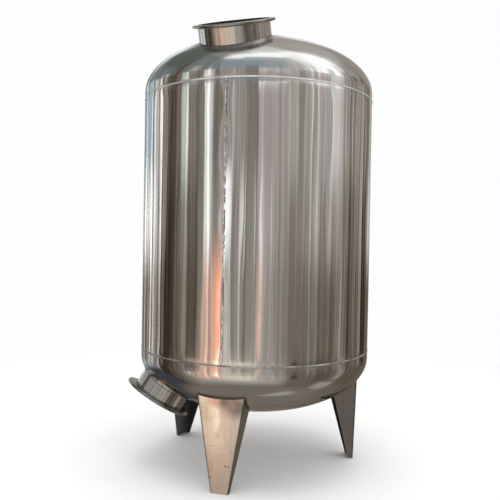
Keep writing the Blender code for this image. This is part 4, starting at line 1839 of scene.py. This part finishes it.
@dataclass
class Studio:
    """The studio: the light all round, the floor and the lamp over it."""

    tank: Tank
    base_light: float = 0.22
    backdrop: float = 0.985
    clutter: float = 2.6
    ambient: float = 1.05
    light_map: int = 512
    floor_rings: tuple[float, ...] = (0.0, 1.0, 3.0, 8.0, 30.0)
    floor_segments: int = 96
    lit_radius: float = 1.6
    fade_radius: float = 4.2
    floor_colour: tuple[float, float, float] = (0.95, 0.948, 0.944)
    floor_roughness: float = 0.9
    floor_gloss: float = 0.1
    mottle_noise: tuple[float, float] = (3.0, 4.0)
    mottle_range: tuple[float, float] = (0.3, 0.7)
    mottle_shade: tuple[float, float] = (0.985, 1.0)
    lamp_size: float = 4.0
    lamp_forward: float = 0.4
    lamp_height: float = 5.0
    lamp_power: float = 88.0

    def build_world(self) -> None:
        """Build the surroundings that the steel mirrors, and the plain backdrop."""
        world = bpy.data.worlds.new("studio")
        world.use_nodes = True
        bpy.context.scene.world = world
        tree = world.node_tree
        tree.nodes.clear()
        toward = wire(tree, "ShaderNodeTexCoord", {}).outputs["Generated"]
        parts = wire(tree, "ShaderNodeSeparateXYZ", {0: toward}).outputs
        azimuth = maths(tree, "ARCTAN2", parts[0], maths(tree, "MULTIPLY", parts[1], -1.0))
        azimuth = maths(tree, "DEGREES", azimuth)
        elevation = maths(tree, "DEGREES", maths(tree, "ARCSINE", parts[2]))
        colour = neutral(self.base_light)
        for panel in OVERHEAD + GROUND + HORIZON:
            colour = panel.place(tree, azimuth, elevation, colour)
        where = {"Azimuth": azimuth, "Elevation": elevation}
        clutter = Effect.use(tree, "clutter", {**where, "Strength": self.clutter})
        tinted = wire(tree, "ShaderNodeVectorMath", {0: colour, 1: clutter}, operation="MULTIPLY")
        path = wire(tree, "ShaderNodeLightPath", {}).outputs
        around = wire(tree, "ShaderNodeBackground", {"Color": tinted.outputs[0]})
        soft = wire(tree, "ShaderNodeBackground", {"Color": neutral(self.ambient)})
        behind = wire(tree, "ShaderNodeBackground", {"Color": neutral(self.backdrop)})
        mix = wire(tree, "ShaderNodeMixShader",
                   {0: path["Is Diffuse Ray"], 1: around.outputs[0], 2: soft.outputs[0]})
        mix = wire(tree, "ShaderNodeMixShader",
                   {0: path["Is Camera Ray"], 1: mix.outputs[0], 2: behind.outputs[0]})
        wire(tree, "ShaderNodeOutputWorld", {"Surface": mix.outputs[0]})
        world.cycles.sampling_method = "MANUAL"
        world.cycles.sample_map_resolution = self.light_map

    def build_floor(self) -> None:
        """Build the pale floor, which fades into the backdrop away from the tank."""
        azimuth = full_turn(self.floor_segments)
        radius = np.array(self.floor_rings)[:, None]
        floor = skin("floor", round_axis(azimuth, radius, np.zeros_like(radius)), wrap_columns=True)
        self.tank.place(floor)
        if floor.data.polygons[0].normal.z < 0.0:
            floor.data.flip_normals()
        material = bpy.data.materials.new("pale_floor")
        material.use_nodes = True
        tree = material.node_tree
        shader = tree.nodes["Principled BSDF"]
        place = wire(tree, "ShaderNodeTexCoord", {}).outputs["Object"]
        scale, detail = self.mottle_noise
        mottle = wire(tree, "ShaderNodeTexNoise", {"Vector": place, "Scale": scale, "Detail": detail})
        shade = remap(tree, mottle.outputs[0], self.mottle_range, self.mottle_shade)
        tint = wire(tree, "ShaderNodeVectorMath", {0: self.floor_colour, 3: shade}, operation="SCALE")
        tree.links.new(tint.outputs[0], shader.inputs["Base Color"])
        shader.inputs["Roughness"].default_value = self.floor_roughness
        shader.inputs["Specular IOR Level"].default_value = self.floor_gloss
        away = wire(tree, "ShaderNodeVectorMath", {0: place}, operation="LENGTH").outputs["Value"]
        share = remap(tree, away, (self.lit_radius, self.fade_radius), smooth=True)
        glow = wire(tree, "ShaderNodeEmission", {"Color": neutral(self.backdrop)})
        mix = wire(tree, "ShaderNodeMixShader", {0: share, 1: shader.outputs[0], 2: glow.outputs[0]})
        output = next(node for node in tree.nodes if node.type == "OUTPUT_MATERIAL")
        tree.links.new(mix.outputs[0], output.inputs["Surface"])
        floor.data.materials.append(material)
        floor.visible_glossy = False

    def build_lamp(self) -> None:
        """Hang a wide soft lamp over the tank, which lights the floor but isn't mirrored."""
        lamp = bpy.data.lights.new("soft_lamp", "AREA")
        lamp.shape = "DISK"
        lamp.size = self.lamp_size
        lamp.energy = self.lamp_power
        obj = bpy.data.objects.new("soft_lamp", lamp)
        obj.location = (self.tank.axis_x, -self.lamp_forward, self.lamp_height)
        obj.visible_glossy = False
        obj.visible_camera = False
        bpy.context.scene.collection.objects.link(obj)

    def build(self) -> None:
        """Build the whole studio."""
        self.build_world()
        self.build_floor()
        self.build_lamp()
        bpy.context.scene.view_settings.view_transform = "Standard"


@dataclass
class Viewpoint:
    """The photograph's viewpoint, found by fitting the tank's seams and outline."""

    tank: Tank
    distance: float = 5.415
    rise: float = 0.9378
    yaw: float = math.radians(-0.565)
    pitch: float = math.radians(-0.950)
    roll: float = math.radians(1.045)
    lens: float = 43.37
    sensor: float = 36.0

    def build(self) -> None:
        """Set the camera up; distance and rise are in tank radii, from axis and bottom seam."""
        radius = self.tank.radius
        forward = Vector(
            (
                math.sin(self.yaw) * math.cos(self.pitch),
                math.cos(self.yaw) * math.cos(self.pitch),
                math.sin(self.pitch),
            )
        )
        level = Vector((math.cos(self.yaw), -math.sin(self.yaw), 0.0))
        upward = level.cross(forward)
        right = level * math.cos(self.roll) + upward * math.sin(self.roll)
        up = upward * math.cos(self.roll) - level * math.sin(self.roll)
        camera = bpy.data.cameras.new("viewpoint")
        camera.lens = self.lens
        camera.sensor_width = self.sensor
        obj = bpy.data.objects.new("viewpoint", camera)
        turn = Matrix((right, up, -forward)).transposed().to_4x4()
        height = self.tank.bottom_seam + self.rise * radius
        spot = Vector((self.tank.axis_x, -self.distance * radius, height))
        obj.matrix_world = Matrix.Translation(spot) @ turn
        bpy.context.scene.collection.objects.link(obj)
        bpy.context.scene.camera = obj


def main() -> None:
    """Build the tank's pieces, the studio and the viewpoint."""
    logging.basicConfig(level=logging.INFO, format="%(name)s: %(message)s")
    tank = Tank.from_frame()
    seams = (tank.bottom_seam, tank.top_seam)
    shell_steel = SteelFinish(
        "rolled_stainless",
        (0.61, 0.595, 0.575),
        0.060,
        grain_contrast=0.02,
        grain_relief=0.000002,
        mark_strength=0.15,
        mark_roughness=0.03,
        scratch_rarity=0.76,
        scratch_strength=0.15,
        seams=seams,
        upright_seam=Shell.seam_azimuth + Shell.heat_shift,
    )
    top_manway = Manway(tank, "top", 1, neck_radius=0.200, rim_radius=0.2285)
    bottom_manway = Manway(tank, "bottom", -1, neck_radius=0.1565, rim_radius=0.2065)
    head_steel = SteelFinish(
        "buffed_stainless",
        (0.60, 0.588, 0.568),
        0.08,
        grain_contrast=0.02,
        grain_relief=0.000003,
        mark_scale=6.0,
        mark_strength=0.15,
        mark_roughness=0.05,
        scratch_rarity=0.75,
        seams=seams,
        ground_spots=(
            (tuple(top_manway.matrix.translation), 0.36),
            (tuple(bottom_manway.matrix.translation), 0.29),
        ),
    )
    manway_steel = SteelFinish(
        "polished_stainless",
        (0.52, 0.507, 0.485),
        0.05,
        grain=Grain.UPRIGHT,
        grain_contrast=0.04,
        grain_relief=0.000004,
        smear=0.35,
        scratch_rarity=0.76,
    )
    # Steel of the manway rim, darkened to 0.31, well below the other steel: painted shade.
    rim_steel = SteelFinish(
        "shaded_turned_stainless",
        (0.31, 0.305, 0.295),
        0.18,
        smear=0.3,
        grain_relief=0.000004,
        mark_strength=0.3,
    )
    leg_steel = SteelFinish(
        "mill_stainless",
        (0.53, 0.512, 0.485),
        0.11,
        grain=Grain.UPRIGHT,
        grain_stretch=(4.0, 90.0),
        grain_contrast=0.06,
        mark_scale=11.0,
        mark_share=0.40,
        mark_colour=(0.34, 0.24, 0.17),
        mark_strength=0.22,
        mark_roughness=0.10,
        # The band of tint at height 0, given as a seam, darkens and greys the leg towards its foot up
        # to 0.42 m: painted shade near the floor.
        seams=(0.0,),
        seam_reach=0.42,
        seam_colour=(0.36, 0.325, 0.30),
        seam_strength=0.75,
        pits=((0.032, 0.0, 0.154), (0.049, 0.0, 0.151), (-0.050, 0.0, 0.086)),
        # Two dark spots near the top of the front leg, below the head: painted shade.
        smudges=(((0.030, 0.0, 0.505), 0.060), ((0.085, 0.0, 0.475), 0.095)),
    )
    # The right leg's steel: darkened to 0.20 as painted shade, with brown marks of wear.
    worn_leg_steel = SteelFinish(
        "shaded_worn_stainless",
        (0.20, 0.190, 0.176),
        0.22,
        grain=Grain.UPRIGHT,
        grain_stretch=(4.0, 70.0),
        grain_contrast=0.10,
        mark_scale=9.0,
        mark_share=0.45,
        mark_colour=(0.26, 0.17, 0.13),
        mark_strength=0.45,
        mark_roughness=0.10,
    )
    shaded_leg_steel = SteelFinish(
        "shaded_stainless",
        (0.112, 0.118, 0.116),
        0.34,
        metallic=0.66,
        grain=Grain.UPRIGHT,
        grain_stretch=(4.0, 70.0),
        mark_scale=9.0,
        mark_colour=(0.08, 0.08, 0.08),
    )
    # Near-black finish for the inner faces of the necks and of the front and right legs: painted shade
    # inside them.
    dull_steel = SteelFinish(
        "inner_shade_stainless",
        (0.056, 0.060, 0.063),
        0.48,
        grain=Grain.UPRIGHT,
        grain_stretch=(4.0, 90.0),
        mark_scale=9.0,
        mark_colour=(0.06, 0.05, 0.04),
        mark_strength=0.5,
    )
    weld_metal = SteelFinish(
        "pickled_weld",
        (0.80, 0.79, 0.77),
        0.25,
        smear=0.0,
        metallic=0.5,
        mark_scale=9.0,
        mark_share=0.46,
        mark_colour=(0.20, 0.18, 0.16),
        mark_strength=0.7,
    )
    faint_weld_metal = SteelFinish(
        "faint_weld",
        (0.56, 0.545, 0.52),
        0.42,
        smear=0.0,
        metallic=0.6,
        mark_scale=8.0,
        mark_share=0.56,
        mark_colour=(0.13, 0.11, 0.095),
        mark_strength=0.85,
    )
    speckled_weld_metal = SteelFinish(
        "speckled_weld",
        (0.85, 0.84, 0.82),
        0.25,
        smear=0.0,
        metallic=0.4,
        mark_scale=42.0,
        mark_share=0.52,
        mark_colour=(0.10, 0.085, 0.07),
        mark_strength=0.8,
    )
    stained_weld_metal = SteelFinish(
        "stained_weld",
        (0.30, 0.25, 0.20),
        0.30,
        smear=0.0,
        mark_scale=22.0,
        mark_colour=(0.12, 0.10, 0.09),
        mark_strength=0.5,
    )
    shell = shell_steel.material()
    heads = head_steel.material()
    manways = manway_steel.material()
    rims = rim_steel.material()
    legs = leg_steel.material()
    worn_legs = worn_leg_steel.material()
    shaded_legs = shaded_leg_steel.material()
    dark_sides = dull_steel.material()
    welds = weld_metal.material()
    faint_welds = faint_weld_metal.material()
    speckled_welds = speckled_weld_metal.material()
    stained_welds = stained_weld_metal.material()

    Shell(tank).build(shell, welds, faint_welds, speckled_welds)
    for manway in (top_manway, bottom_manway):
        Head(tank, manway.side, manway.sign).build(heads, manway.cutter())
        manway.build(manways, rims, dark_sides, stained_welds, faint_welds)
    # The right leg's darkened steel, the left leg's near-black steel and the dark inner faces are
    # painted shade.
    leg_finishes = (
        ("front", legs, dark_sides),
        ("right", worn_legs, dark_sides),
        ("left", shaded_legs, shaded_legs),
    )
    for seed, (side, steel, inside) in enumerate(leg_finishes):
        Leg(tank, "leg_" + side, "foot_" + side, seed).build(steel, inside, stained_welds)
    Studio(tank).build()
    Viewpoint(tank).build()


if __name__ == "__main__":
    main()
